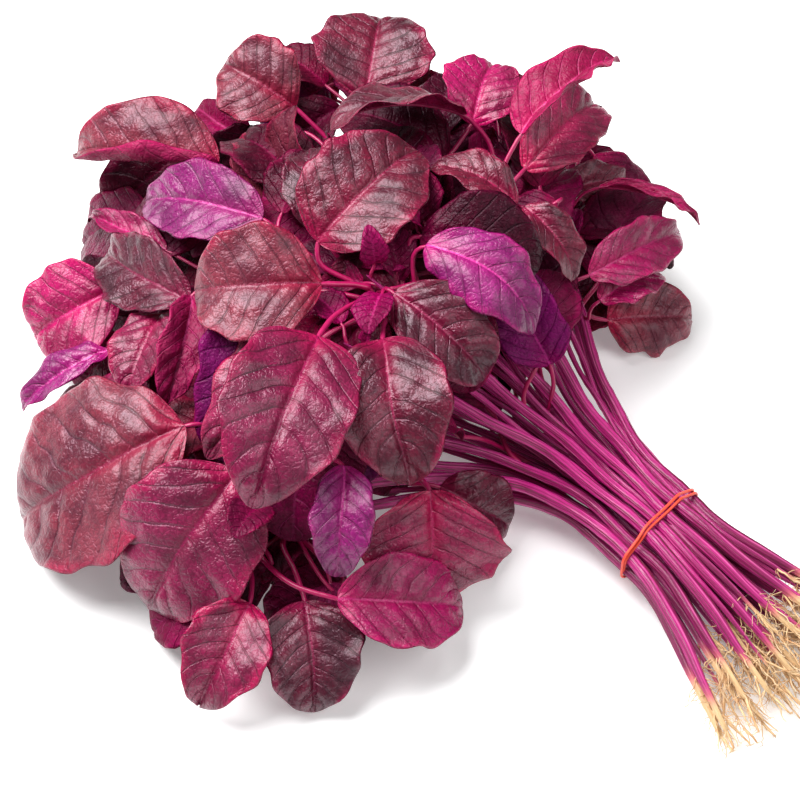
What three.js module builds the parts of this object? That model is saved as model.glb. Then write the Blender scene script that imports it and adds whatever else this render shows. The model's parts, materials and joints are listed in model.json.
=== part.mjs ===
// A bunch of young red amaranth plants, lying down and tied with a rubber band.
// Millimetres. +X points from the leaves to the roots, +Y across the bunch, +Z up.
// Each stem is one solid with its taproot, each leaf one solid with its petiole.

import * as THREE from "three";

// Driving dimensions
const STEM_DIAMETER = 4.6;
const BUNDLE_HALF_WIDTH = 18.5;
const BUNDLE_HALF_HEIGHT = 9.6;
const ROOT_LENGTH = 72;
const SHOOT_LENGTH_LOW = 186;
const SHOOT_LENGTH_HIGH = 147;
const PETIOLE_RADIUS = 1.1;
const BLADE_THICKNESS = 0.8;
const BAND_STRAND_DIAMETER = 1.4;
const BAND_CLEARANCE = 1.8;

// Where the band holds the bundle. Headings are in degrees from -X towards -Y.
const TIE = new THREE.Vector3(82, 67, 13.4);
const TIE_HEADING = 9;
const BAND_SKEW = 9;

// How many sides and rings the solids have
const STEM_SIDES = 6;
const STEM_RINGS = 12;
const LEAF_SIDES = 8;
const PETIOLE_RINGS = 3;
const BLADE_RINGS = 8;
const BAND_STEPS = 56;
const BAND_SIDES = 6;

const UP = new THREE.Vector3(0, 0, 1);
const radians = THREE.MathUtils.degToRad;
const lerp = THREE.MathUtils.lerp;
const smooth = (t) => THREE.MathUtils.smoothstep(t, 0, 1);

function surface(color, roughness) {
  return new THREE.MeshStandardMaterial({ color, roughness, metalness: 0 });
}

const materials = {
  dark: surface("#4a1726", 0.42),
  wine: surface("#6b1a33", 0.42),
  brown: surface("#4f2a24", 0.45),
  violet: surface("#7c1f63", 0.45),
  magenta: surface("#b3174f", 0.45),
  stem: surface("#b8347e", 0.38),
  band: surface("#f0614a", 0.5),
};

const bunch = new THREE.Group();

function addPiece(name, geometry, material) {
  const mesh = new THREE.Mesh(geometry, material);
  mesh.name = name;
  bunch.add(mesh);
  return mesh;
}

// A closed solid on a sphere's grid: its poles go to the first and last centre, and each ring
// between them is placed by ring(index, angle).
function loft(sides, rings, firstPole, ring, lastPole) {
  const geometry = new THREE.SphereGeometry(1, sides, rings + 1);
  const position = geometry.getAttribute("position");
  for (let row = 0; row <= rings + 1; row += 1) {
    for (let column = 0; column <= sides; column += 1) {
      const angle = (2 * Math.PI * (column % sides)) / sides;
      let point = ring(row - 1, angle);
      if (row === 0) point = firstPole;
      if (row === rings + 1) point = lastPole;
      position.setXYZ(row * (sides + 1) + column, point.x, point.y, point.z);
    }
  }
  return geometry;
}

// The three directions of a cross-section: along the way, to its right, and out of its face
function sectionFrame(along, up) {
  const right = new THREE.Vector3().crossVectors(along, up).normalize();
  const face = new THREE.Vector3().crossVectors(right, along).normalize();
  return { along: along.clone().normalize(), right, face };
}

// ---------------------------------------------------------------- stems

// Places of the stems in the tied bundle, from -1 to 1 across (seat) and up (tier)
const BUNDLE_ROWS = [
  { tier: -1, seats: [-0.5, -0.17, 0.17, 0.5] },
  { tier: -0.34, seats: [-1, -0.67, -0.34, 0, 0.34, 0.67, 1] },
  { tier: 0.34, seats: [-1, -0.67, -0.34, 0, 0.34, 0.67, 1] },
  { tier: 1, seats: [-0.5, -0.17, 0.17, 0.5] },
];

// The headings that the shoots fan out to, and the roots' spread, in degrees
const FAN_LEFT = 80;
const FAN_MIDDLE = 34;
const FAN_RIGHT = -16;
const ROOT_FAN = 19;
const STEEPEST = 40;
// How far from the band a shoot and a root go on bending
const SHOOT_BEND = 92;
const ROOT_BEND = 34;
const WALK_STEP = 2;
const END_POINT = 0.8;

function heading(degrees, pitch) {
  const turn = radians(degrees);
  const level = Math.cos(radians(pitch));
  return new THREE.Vector3(-Math.cos(turn) * level, -Math.sin(turn) * level, Math.sin(radians(pitch)));
}

// Walks from a point, bending from one heading and pitch to another over the bend's length
function walk(start, length, bendLength, from, to) {
  const points = [start.clone()];
  const steps = Math.round(length / WALK_STEP);
  for (let i = 0; i < steps; i += 1) {
    const bend = smooth(((i + 0.5) * length) / steps / bendLength);
    const turn = lerp(from.turn, to.turn, bend);
    const pitch = lerp(from.pitch, to.pitch, bend);
    points.push(points[i].clone().addScaledVector(heading(turn, pitch), length / steps));
  }
  return points;
}

// The centreline of one stem, from its root tip to its shoot tip
function stemCurve(seat, tier, index) {
  const across = heading(TIE_HEADING - 90, 0);
  const tied = TIE.clone()
    .addScaledVector(across, seat * BUNDLE_HALF_WIDTH)
    .addScaledVector(UP, tier * BUNDLE_HALF_HEIGHT);
  const fan = lerp(FAN_MIDDLE, seat < 0 ? FAN_LEFT : FAN_RIGHT, Math.abs(seat));
  const climb = lerp(4, STEEPEST, (tier + 1) / 2) * (1 - 0.4 * seat * seat);
  const usual = lerp(SHOOT_LENGTH_LOW, SHOOT_LENGTH_HIGH, (tier + 1) / 2) - 22 * seat * seat;
  const reach = usual + 12 * Math.cos(index * 2.9) - 8 * seat;
  const shoot = walk(tied, reach, SHOOT_BEND, { turn: TIE_HEADING, pitch: 0 }, { turn: fan, pitch: climb });
  const rootLength = ROOT_LENGTH + 7 * Math.cos(index * 1.7);
  const rootEnd = { turn: 180 + TIE_HEADING + ROOT_FAN * seat + 2 * tier, pitch: -4 * (tier + 1.3) };
  const root = walk(tied, rootLength, ROOT_BEND, { turn: 180 + TIE_HEADING, pitch: 0 }, rootEnd);
  const points = [...root.reverse(), ...shoot.slice(1)];
  return { curve: new THREE.CatmullRomCurve3(points), rootShare: rootLength / (rootLength + reach) };
}

// Radius along the stem: a thin root tip, full at the tie, a little slimmer at the shoot
function stemRadius(along, full) {
  const root = THREE.MathUtils.smoothstep(along, 0, 0.22);
  return full * lerp(0.35, 1, root) * lerp(1, 0.62, along ** 3);
}

function stemSolid(stem) {
  const ring = (index, angle) => {
    const along = THREE.MathUtils.clamp(index / (STEM_RINGS - 1), 0, 1);
    const centre = stem.curve.getPointAt(along);
    const frame = sectionFrame(stem.curve.getTangentAt(along), UP);
    const radius = stemRadius(along, stem.radius);
    return centre
      .addScaledVector(frame.right, radius * Math.cos(angle))
      .addScaledVector(frame.face, radius * Math.sin(angle));
  };
  const root = stem.curve.getPointAt(0).addScaledVector(stem.curve.getTangentAt(0), -END_POINT);
  const shoot = stem.curve.getPointAt(1).addScaledVector(stem.curve.getTangentAt(1), END_POINT);
  return loft(STEM_SIDES, STEM_RINGS, root, ring, shoot);
}

const stems = [];
for (const row of BUNDLE_ROWS) {
  for (const seat of row.seats) {
    const index = stems.length;
    const path = stemCurve(seat, row.tier, index);
    const radius = (STEM_DIAMETER / 2) * (1 + 0.08 * Math.sin(index * 1.9));
    stems.push({ ...path, radius });
  }
}
for (const [index, stem] of stems.entries()) {
  const name = `stem_${String(index + 1).padStart(2, "0")}`;
  addPiece(name, stemSolid(stem), materials.stem);
}

// ---------------------------------------------------------------- leaves

// Each leaf: where its blade starts and ends, its width, how its face turns about the midrib
// (roll, degrees), how high the midrib arches, and how each half cups up or folds down (degrees).
const leaves = [
  { name: "leaf_top_1", base: [-127, 54, 75], tip: [-161, 80, 86], width: 51, roll: 5, arch: 6,
    cup: [12, 12], tone: "wine", broadAt: 0.45 },
  { name: "leaf_top_2", base: [-142, 29, 70], tip: [-172, 10, 80], width: 40, roll: -30, arch: 5,
    cup: [10, 10], tone: "brown", broadAt: 0.5 },
  { name: "leaf_far_1", base: [-136, -10, 60], tip: [-185, -57, 50], width: 47, roll: -30, arch: 8,
    cup: [-95, 10], tone: "brown" },
  { name: "leaf_top_3", base: [-80, 74, 95], tip: [-92, 19, 104], width: 39, roll: 30, arch: 6,
    cup: [10, 15], tone: "dark", broadAt: 0.45 },
  { name: "leaf_top_4", base: [-80, 77, 88], tip: [-102, 100, 95], width: 34, roll: 10, arch: 5,
    cup: [10, 10], tone: "magenta", broadAt: 0.45 },
  { name: "leaf_peak_1", base: [-52, 82, 103], tip: [-66, 136, 110], width: 31, roll: -15, arch: 6,
    cup: [40, 50], tone: "violet", broadAt: 0.4 },
  { name: "leaf_peak_2", base: [-55, 87, 80], tip: [-79, 137, 76], width: 31, roll: 25, arch: 8,
    cup: [10, 10], tone: "violet", broadAt: 0.45 },
  { name: "leaf_right_1", base: [-67, 113, 45], tip: [-62, 146, 41], width: 19, roll: 25, arch: 4,
    cup: [15, 15], tone: "dark" },
  { name: "leaf_right_2", base: [-15, 94, 52], tip: [-24, 147, 44], width: 25, roll: 35, arch: 5,
    cup: [15, 15], tone: "magenta" },
  { name: "leaf_right_3", base: [-9, 96, 42], tip: [-14, 131, 36], width: 21, roll: 20, arch: 4,
    cup: [10, 10], tone: "magenta" },
  { name: "leaf_right_4", base: [-19, 109, 14], tip: [-9, 148, 4], width: 34, roll: 25, arch: 4,
    cup: [20, -60], tone: "brown" },
  { name: "leaf_right_5", base: [-49, 120, 60], tip: [-23, 156, 45], width: 12, roll: -10, arch: 5,
    cup: [50, 50], tone: "magenta" },
  { name: "leaf_crown_1", base: [-48, -9, 92], tip: [-62, 43, 106], width: 48, roll: 15, arch: 7,
    cup: [12, 12], tone: "dark", stem: 20, at: 0.925 },
  { name: "leaf_crown_2", base: [-58, -2, 85], tip: [-94, 12, 95], width: 24, roll: -20, arch: 6,
    cup: [20, 20], tone: "dark", broadAt: 0.45 },
  { name: "leaf_crown_3", base: [-28, -17, 92], tip: [-54, -59, 85], width: 47, roll: -30, arch: 8,
    cup: [10, 14], tone: "brown", broadAt: 0.48, stem: 20, at: 0.985 },
  { name: "leaf_crown_4", base: [-6, -30, 92], tip: [37, -80, 70], width: 49, roll: -15, arch: 12,
    cup: [10, 10], tone: "wine", stem: 20, at: 0.945 },
  { name: "leaf_crown_5", base: [3, -9, 88], tip: [48, -22, 58], width: 44, roll: 5, arch: 12,
    cup: [15, 12], tone: "dark", stem: 20, at: 0.905 },
  { name: "leaf_crown_6", base: [-22, 23, 98], tip: [18, 49, 74], width: 30, roll: 5, arch: 10,
    cup: [20, -50], tone: "violet", stem: 20, at: 0.885 },
  { name: "leaf_crown_7", base: [-14, 5, 89], tip: [21, 26, 63], width: 34, roll: 20, arch: 8,
    cup: [12, 12], tone: "dark", broadAt: 0.45, stem: 20, at: 0.965 },
  { name: "leaf_crown_8", base: [-25, -20, 78], tip: [0, -81, 58], width: 31, roll: -20, arch: 8,
    cup: [10, -30], tone: "wine" },
  { name: "leaf_crown_9", base: [-26, 65, 95], tip: [-57, 44, 100], width: 21, roll: -5, arch: 5,
    cup: [15, 15], tone: "dark", broadAt: 0.45 },
  { name: "leaf_crown_10", base: [-26, 68, 93], tip: [-2, 78, 68], width: 19, roll: 5, arch: 6,
    cup: [15, 15], tone: "dark" },
  { name: "leaf_left_1", base: [-85, -14, 75], tip: [-139, -45, 54], width: 34, roll: -30, arch: 6,
    cup: [10, 12], tone: "violet" },
  { name: "leaf_left_2", base: [-115, -45, 46], tip: [-161, -62, 34], width: 17, roll: -10, arch: 4,
    cup: [50, 40], tone: "magenta" },
  { name: "leaf_left_3", base: [-112, -68, 38], tip: [-124, -105, 16], width: 42, roll: -30, arch: 6,
    cup: [14, 10], tone: "magenta", broadAt: 0.45 },
  { name: "leaf_left_4", base: [-73, -53, 59], tip: [-130, -67, 44], width: 31, roll: -35, arch: 5,
    cup: [9, 9], tone: "brown", broadAt: 0.45 },
  { name: "leaf_left_5", base: [-82, -60, 48], tip: [-56, -89, 39], width: 28, roll: 15, arch: 5,
    cup: [14, 14], tone: "wine", broadAt: 0.45 },
  { name: "leaf_left_6", base: [-64, -55, 72], tip: [-34, -84, 50], width: 23, roll: -40, arch: 6,
    cup: [70, 10], tone: "magenta" },
  { name: "leaf_left_7", base: [-90, -83, 30], tip: [-97, -122, 8], width: 18, roll: -5, arch: 4,
    cup: [20, -20], tone: "violet" },
  { name: "leaf_front_1", base: [-18, -80, 58], tip: [-49, -144, 3], width: 72, roll: -30, arch: 12,
    cup: [12, -25], tone: "brown", broadAt: 0.46 },
  { name: "leaf_front_2", base: [11, -73, 59], tip: [21, -119, 13], width: 55, roll: -30, arch: 8,
    cup: [2, -20], tone: "wine" },
  { name: "leaf_front_3", base: [44, -86, 27], tip: [61, -117, 4], width: 34, roll: -15, arch: 7,
    cup: [17, 27], tone: "wine" },
  { name: "leaf_front_4", base: [52, -68, 26], tip: [83, -81, 2], width: 38, roll: 0, arch: 5,
    cup: [12, 12], tone: "dark" },
  { name: "leaf_front_5", base: [62, -60, 34], tip: [75, -13, 12], width: 36, roll: 30, arch: 6,
    cup: [12, 12], tone: "magenta", broadAt: 0.45 },
  { name: "leaf_front_6", base: [35, -42, 70], tip: [61, -60, 44], width: 24, roll: -15, arch: 8,
    cup: [15, 15], tone: "violet" },
  { name: "leaf_front_7", base: [46, -13, 50], tip: [63, -25, 10], width: 55, roll: -15, arch: 6,
    cup: [15, 15], tone: "wine", broadAt: 0.45 },
  { name: "leaf_front_8", base: [36, -3, 34], tip: [51, 21, 10], width: 29, roll: 30, arch: 4,
    cup: [12, 12], tone: "dark", broadAt: 0.45 },
];

const FLOOR_GAP = 0.1;
const BROAD_AT = 0.42;
const MARGIN_FULLNESS = 0.72;
const STRAIGHT_CUP = 0.01;

// Petioles start from the upper part of a shoot, and leave it and reach the blade smoothly
const FIRST_NODE = 0.72;
const LAST_NODE = 0.985;
const NODE_STEP = 0.02;
const BEHIND_BLADE = 12;
const PETIOLE_GAP = 0.5;

// Half-width of the blade along the midrib: broad below the middle, drawn in to the tip
function outline(along, broadAt) {
  const power = Math.log(0.5) / Math.log(broadAt);
  return Math.sin(Math.PI * along ** power) ** MARGIN_FULLNESS;
}

function bladeFrame(leaf, along) {
  const base = new THREE.Vector3(...leaf.base);
  const chord = new THREE.Vector3(...leaf.tip).sub(base);
  const flat = sectionFrame(chord, UP);
  const face = flat.face.clone().applyAxisAngle(flat.along, radians(leaf.roll));
  const rise = (t) => 4 * t * (1 - t) * leaf.arch;
  const midrib = base.addScaledVector(chord, along).addScaledVector(face, rise(along));
  const slope = chord.clone().addScaledVector(face, 4 * (1 - 2 * along) * leaf.arch);
  return { midrib, ...sectionFrame(slope, face) };
}

// A point of the blade: share runs from -1 at the left margin to 1 at the right one, and lift
// from -1 on the underside to 1 on the upper face.
function bladePoint(leaf, along, share, lift) {
  const frame = bladeFrame(leaf, along);
  const half = Math.max((leaf.width / 2) * outline(along, leaf.broadAt ?? BROAD_AT), PETIOLE_RADIUS);
  const cup = radians(share > 0 ? leaf.cup[1] : leaf.cup[0]) * Math.abs(share);
  const straight = Math.abs(cup) < STRAIGHT_CUP;
  const bow = straight ? 1 : Math.sin(cup) / cup;
  const raise = straight ? 0 : (1 - Math.cos(cup)) / cup;
  const point = frame.midrib
    .clone()
    .addScaledVector(frame.right, half * share * bow)
    .addScaledVector(frame.face, half * Math.abs(share) * raise);
  const tilt = share > 0 ? -cup : cup;
  const normal = frame.face.clone().applyAxisAngle(frame.along, tilt);
  point.z = Math.max(point.z, BLADE_THICKNESS / 2 + FLOOR_GAP);
  point.addScaledVector(normal, (BLADE_THICKNESS / 2) * lift);
  point.z = Math.max(point.z, FLOOR_GAP);
  return point;
}

// The stem point that a petiole grows from: on the leaf's own stem where it names one, and
// else near the shoot tip that lies closest to a point some way behind the blade
function nearestStem(leaf) {
  if (leaf.stem) {
    const stem = stems[leaf.stem - 1];
    return { stem, along: leaf.at, point: stem.curve.getPointAt(leaf.at) };
  }
  const start = bladeFrame(leaf, 0);
  const target = start.midrib.clone().addScaledVector(start.along, -BEHIND_BLADE);
  let best = { distance: Infinity };
  for (const stem of stems) {
    for (let along = FIRST_NODE; along <= LAST_NODE; along += NODE_STEP) {
      const point = stem.curve.getPointAt(along);
      const distance = point.distanceTo(target);
      if (distance < best.distance) best = { distance, point, stem, along };
    }
  }
  return best;
}

function petioleCurve(leaf) {
  const blade = bladeFrame(leaf, 0);
  const growth = nearestStem(leaf);
  const tangent = growth.stem.curve.getTangentAt(growth.along);
  const outward = blade.midrib.clone().sub(growth.point);
  const aside = outward.clone().addScaledVector(tangent, -outward.dot(tangent)).normalize();
  const clear = stemRadius(growth.along, growth.stem.radius) + PETIOLE_RADIUS + PETIOLE_GAP;
  const start = growth.point.clone().addScaledVector(aside, clear);
  const reach = start.distanceTo(blade.midrib);
  const leave = start.clone().addScaledVector(tangent, reach * 0.3).addScaledVector(aside, reach * 0.1);
  const arrive = blade.midrib.clone().addScaledVector(blade.along, -reach * 0.35);
  return new THREE.CubicBezierCurve3(start, leave, arrive, blade.midrib);
}

function leafSolid(leaf) {
  const petiole = petioleCurve(leaf);
  const ring = (index, angle) => {
    if (index < PETIOLE_RINGS) {
      const along = Math.max(index, 0) / PETIOLE_RINGS;
      const frame = sectionFrame(petiole.getTangent(along), bladeFrame(leaf, 0).face);
      const point = petiole.getPoint(along);
      point.z = Math.max(point.z, PETIOLE_RADIUS + FLOOR_GAP);
      return point
        .addScaledVector(frame.right, PETIOLE_RADIUS * Math.cos(angle))
        .addScaledVector(frame.face, PETIOLE_RADIUS * Math.sin(angle));
    }
    const step = (Math.min(index, PETIOLE_RINGS + BLADE_RINGS - 1) - PETIOLE_RINGS) / BLADE_RINGS;
    const along = 0.5 * step + 0.5 * smooth(step);
    return bladePoint(leaf, along, Math.cos(angle), Math.sin(angle));
  };
  const heel = petiole.getPoint(0).addScaledVector(petiole.getTangent(0), -0.2);
  return loft(LEAF_SIDES, PETIOLE_RINGS + BLADE_RINGS, heel, ring, bladePoint(leaf, 1, 0, 0));
}

for (const leaf of leaves) {
  addPiece(leaf.name, leafSolid(leaf), materials[leaf.tone]);
}

// ---------------------------------------------------------------- rubber band

// One loop of rubber wound twice round the bundle: two strands side by side that cross over once
function bandSolid() {
  const strand = BAND_STRAND_DIAMETER / 2;
  const across = heading(TIE_HEADING + BAND_SKEW - 90, 0);
  const along = heading(TIE_HEADING + BAND_SKEW, 0);
  const halfWidth = BUNDLE_HALF_WIDTH + STEM_DIAMETER / 2 + BAND_CLEARANCE;
  const halfHeight = BUNDLE_HALF_HEIGHT + STEM_DIAMETER / 2 + BAND_CLEARANCE;
  const round = (value) => Math.sign(value) * Math.abs(value) ** 0.8;
  const centre = (t) => {
    const turn = 4 * Math.PI * t;
    const stack = (strand + 0.15) * (1 + Math.sin(2 * Math.PI * t));
    return TIE.clone()
      .addScaledVector(across, (halfWidth + stack) * round(Math.cos(turn)))
      .addScaledVector(UP, (halfHeight + stack) * round(Math.sin(turn)))
      .addScaledVector(along, (strand + 0.25) * Math.cos(2 * Math.PI * t));
  };
  const geometry = new THREE.TorusGeometry(1, 0.3, BAND_SIDES, BAND_STEPS);
  const position = geometry.getAttribute("position");
  for (let side = 0; side <= BAND_SIDES; side += 1) {
    for (let step = 0; step <= BAND_STEPS; step += 1) {
      const t = (step % BAND_STEPS) / BAND_STEPS;
      const angle = (2 * Math.PI * (side % BAND_SIDES)) / BAND_SIDES;
      const tangent = centre(t + 0.002).sub(centre(t - 0.002));
      const frame = sectionFrame(tangent, along);
      const point = centre(t)
        .addScaledVector(frame.right, strand * Math.cos(angle))
        .addScaledVector(frame.face, strand * Math.sin(angle));
      position.setXYZ(side * (BAND_STEPS + 1) + step, point.x, point.y, point.z);
    }
  }
  return geometry;
}

addPiece("rubber_band", bandSolid(), materials.band);

// The origin is the middle of the box's underside, so that the bunch rests on the floor.
const box = new THREE.Box3().setFromObject(bunch);
const middle = box.getCenter(new THREE.Vector3());
bunch.position.set(-middle.x, -middle.y, -box.min.z);

export default bunch;
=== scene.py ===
"""A tied bunch of young red amaranth plants, lying down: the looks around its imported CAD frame."""

import json
import math
from functools import partialmethod

import bmesh
import bpy
import numpy as np
from bpy.props import FloatProperty, FloatVectorProperty, IntProperty, PointerProperty
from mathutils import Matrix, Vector
from mathutils.bvhtree import BVHTree


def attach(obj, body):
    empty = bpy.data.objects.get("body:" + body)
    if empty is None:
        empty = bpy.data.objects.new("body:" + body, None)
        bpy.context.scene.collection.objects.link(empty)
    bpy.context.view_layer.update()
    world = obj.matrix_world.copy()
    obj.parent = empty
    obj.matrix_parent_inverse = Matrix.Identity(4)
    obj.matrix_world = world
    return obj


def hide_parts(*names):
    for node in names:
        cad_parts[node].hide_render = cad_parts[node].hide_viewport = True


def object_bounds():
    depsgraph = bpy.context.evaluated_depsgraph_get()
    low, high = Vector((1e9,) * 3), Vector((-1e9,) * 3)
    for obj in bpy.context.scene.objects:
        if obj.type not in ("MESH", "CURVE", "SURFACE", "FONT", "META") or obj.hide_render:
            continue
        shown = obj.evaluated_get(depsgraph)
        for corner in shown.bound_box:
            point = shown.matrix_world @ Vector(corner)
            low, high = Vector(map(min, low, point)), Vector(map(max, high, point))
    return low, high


bl_info = {
    "name": "Red amaranth bunch",
    "version": (1, 0, 0),
    "blender": (4, 5, 0),
    "location": "3D View > Sidebar > Amaranth",
    "description": "Builds leaves, stems, roots and band around the packed frame of the bunch",
    "category": "Object",
}

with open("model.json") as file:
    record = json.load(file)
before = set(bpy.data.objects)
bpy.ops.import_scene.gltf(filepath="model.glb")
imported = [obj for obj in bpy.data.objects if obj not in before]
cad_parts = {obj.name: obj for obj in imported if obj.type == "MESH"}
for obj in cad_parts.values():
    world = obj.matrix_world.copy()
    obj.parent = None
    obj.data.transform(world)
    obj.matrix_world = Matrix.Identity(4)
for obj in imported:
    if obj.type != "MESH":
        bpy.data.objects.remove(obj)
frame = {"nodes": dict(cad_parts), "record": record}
CAD_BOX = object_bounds()
BODY = "root"
MM = 0.001

# How the frame's leaves and stems are swept
LEAF_SIDES = 8
STEM_SIDES = 6
PETIOLE_RINGS = 3
BLADE_RINGS = 8
CAD_FULLNESS = 0.72
WELD = 1e-6

# How far a root may reach past the frame's box
ROOT_REACH = 6 * MM
# Sections of the swept parts
STALK_SIDES = 8
ROOT_SIDES = 4
ROOT_POINTS = 12

# The veins of every leaf
VEIN_PAIRS = 7.0
VEIN_LEAN = 0.3

# First seeds of the random draws, and first numbers of the leaves outside the frame
LEAF_SEED, STEM_SEED, SLENDER_SEED, YOUNG_SEED = 100, 300, 700, 17
FIRST_INNER, FIRST_YOUNG = 60, 400


# ---------------------------------------------------------------- node trees


class Term:
    """A socket or a number that can be added, scaled and compared in a node tree."""

    def __init__(self, graph, source):
        self.graph, self.source = graph, source

    def _with(self, operation, *others):
        return self.graph.math(operation, self, *others)

    def __rsub__(self, other):
        return self.graph.math("SUBTRACT", other, self)

    __add__ = __radd__ = partialmethod(_with, "ADD")
    __sub__ = partialmethod(_with, "SUBTRACT")
    __mul__ = __rmul__ = partialmethod(_with, "MULTIPLY")
    __pow__ = partialmethod(_with, "POWER")
    __abs__ = partialmethod(_with, "ABSOLUTE")


class Graph:
    """A node tree being built, for geometry or for shading."""

    def __init__(self, tree):
        self.tree = tree

    def feed(self, socket, value):
        if isinstance(value, Term):
            value = value.source
        if isinstance(value, bpy.types.NodeSocket):
            self.tree.links.new(value, socket)
        else:
            socket.default_value = value

    def node(self, kind, inputs=None, **settings):
        made = self.tree.nodes.new(kind)
        for name, value in settings.items():
            setattr(made, name, value)
        for key, value in (inputs or {}).items():
            self.feed(made.inputs[key], value)
        return made

    def math(self, operation, *terms):
        made = self.node("ShaderNodeMath", operation=operation)
        for socket, value in zip(made.inputs, terms):
            self.feed(socket, value)
        return Term(self, made.outputs[0])

    def ramp(self, value, low, high, start=0.0, end=1.0):
        """start up to low, end from high on, and a smooth step between them."""
        made = self.node(
            "ShaderNodeMapRange",
            {"Value": value, "From Min": low, "From Max": high, "To Min": start, "To Max": end},
            interpolation_type="SMOOTHSTEP",
        )
        return Term(self, made.outputs["Result"])

    def vector(self, x, y, z):
        made = self.node("ShaderNodeCombineXYZ", {"X": x, "Y": y, "Z": z})
        return Term(self, made.outputs[0])

    def scaled(self, vector, factor):
        made = self.node(
            "ShaderNodeVectorMath", {"Vector": vector, "Scale": factor}, operation="SCALE"
        )
        return Term(self, made.outputs["Vector"])

    def vectors(self, operation, first, second):
        made = self.node("ShaderNodeVectorMath", {0: first, 1: second}, operation=operation)
        return Term(self, made.outputs[0])

    def parts(self, vector):
        made = self.node("ShaderNodeSeparateXYZ", {"Vector": vector})
        return [Term(self, made.outputs[axis]) for axis in "XYZ"]

    def noise(self, vector, scale, detail=2.0, rough=0.5, output=0):
        made = self.node(
            "ShaderNodeTexNoise",
            {"Vector": vector, "Scale": scale, "Detail": detail, "Roughness": rough},
        )
        return Term(self, made.outputs[output])

    def cells(self, vector, scale, feature="F1"):
        made = self.node(
            "ShaderNodeTexVoronoi", {"Vector": vector, "Scale": scale}, feature=feature
        )
        return Term(self, made.outputs["Distance"])

    def mix(self, share, first, second):
        """Blends two colours in a shader tree."""
        made = self.node("ShaderNodeMix", data_type="RGBA")
        for place, value in ((0, share), (6, first), (7, second)):
            self.feed(made.inputs[place], value)
        return Term(self, made.outputs[2])

    def named(self, name, kind="FLOAT"):
        """An attribute of the surface, in either kind of tree."""
        if self.tree.bl_idname == "GeometryNodeTree":
            made = self.node("GeometryNodeInputNamedAttribute", {"Name": name}, data_type=kind)
            return Term(self, made.outputs["Attribute"])
        made = self.node("ShaderNodeAttribute", attribute_name=name)
        return Term(self, made.outputs["Vector" if kind == "FLOAT_VECTOR" else "Fac"])

    # What follows is for geometry trees: each gives the socket of a geometry or a field

    def shape(self, kind, inputs=None, **settings):
        return self.node("GeometryNode" + kind, inputs, **settings).outputs[0]

    def moved(self, geometry, **how):
        return self.shape("SetPosition", {"Geometry": geometry, **how})

    def painted(self, geometry, material):
        return self.shape("SetMaterial", {"Geometry": geometry, "Material": material})

    def joined(self, *shapes):
        made = self.node("GeometryNodeJoinGeometry")
        for shape in shapes:
            self.tree.links.new(shape, made.inputs[0])
        return made.outputs[0]

    def stored(self, geometry, name, value, kind):
        return self.shape(
            "StoreNamedAttribute", {"Geometry": geometry, "Name": name, "Value": value},
            data_type=kind, domain="POINT",
        )

    def circle(self, sides):
        return self.shape("CurvePrimitiveCircle", {"Resolution": sides, "Radius": MM})

    def swept(self, line, profile, girth):
        return self.shape(
            "CurveToMesh",
            {"Curve": line, "Profile Curve": profile, "Scale": girth, "Fill Caps": True},
        )

    def floored(self, geometry, floor, furthest=None):
        """Lifts what lies under a floor in millimetres, and stops what passes the furthest x."""
        x, y, z = self.parts(self.shape("InputPosition"))
        if furthest is not None:
            x = self.math("MINIMUM", x, furthest)
        return self.moved(
            geometry, Position=self.vector(x, y, self.math("MAXIMUM", z, floor * MM))
        )

    def finish(self, end, geometry):
        smooth = self.shape("SetShadeSmooth", {"Geometry": geometry, "Shade Smooth": True})
        self.feed(end.inputs["Geometry"], self.shape("RealizeInstances", {"Geometry": smooth}))
        return self.tree


SOCKETS = {
    float: "NodeSocketFloat",
    int: "NodeSocketInt",
    tuple: "NodeSocketColor",
    "color": "NodeSocketColor",
    "value": "NodeSocketFloat",
    "geometry": "NodeSocketGeometry",
    "material": "NodeSocketMaterial",
}


def new_group(kind, name, inputs, outputs):
    """A node group with named sockets; inputs map each name to its default or its kind."""
    tree = bpy.data.node_groups.new(name, kind)
    for label, default in inputs.items():
        has_default = not isinstance(default, str)
        socket = tree.interface.new_socket(
            label, in_out="INPUT", socket_type=SOCKETS[type(default) if has_default else default]
        )
        if has_default:
            socket.default_value = default
    for label, socket_kind in outputs.items():
        tree.interface.new_socket(label, in_out="OUTPUT", socket_type=SOCKETS[socket_kind])
    graph = Graph(tree)
    start = graph.node("NodeGroupInput")
    end = graph.node("NodeGroupOutput")
    given = {label: Term(graph, start.outputs[label]) for label in inputs}
    return graph, given, end


def shape_group(name, inputs):
    """A group for a Geometry Nodes modifier: geometry in and geometry out."""
    return new_group(
        "GeometryNodeTree", name, {"Geometry": "geometry", **inputs}, {"Geometry": "geometry"}
    )


# ---------------------------------------------------------------- leaf venation


def vein_step(graph, along, across, flat, given):
    """Where a point lies between two side veins: 0 and 1 on a vein, a half midway."""
    reach = abs(across) ** 1.25
    drift = (graph.noise(flat, 48.0, 1.0) - 0.5) * 0.16
    origin = along + drift - given["Vein lean"] * reach * (1.0 - 0.35 * along)
    right_side = graph.math("GREATER_THAN", across, 0.0)
    # The right side's veins start a little later, and the last number keeps the sum above zero
    return graph.math("FRACT", given["Vein pairs"] * origin + 0.45 * right_side + 8.0)


def vein_gap(step):
    """Distance from the nearest side vein, as a share of their spacing."""
    return 0.5 - abs(step - 0.5)


# ---------------------------------------------------------------- geometry trees


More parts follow.
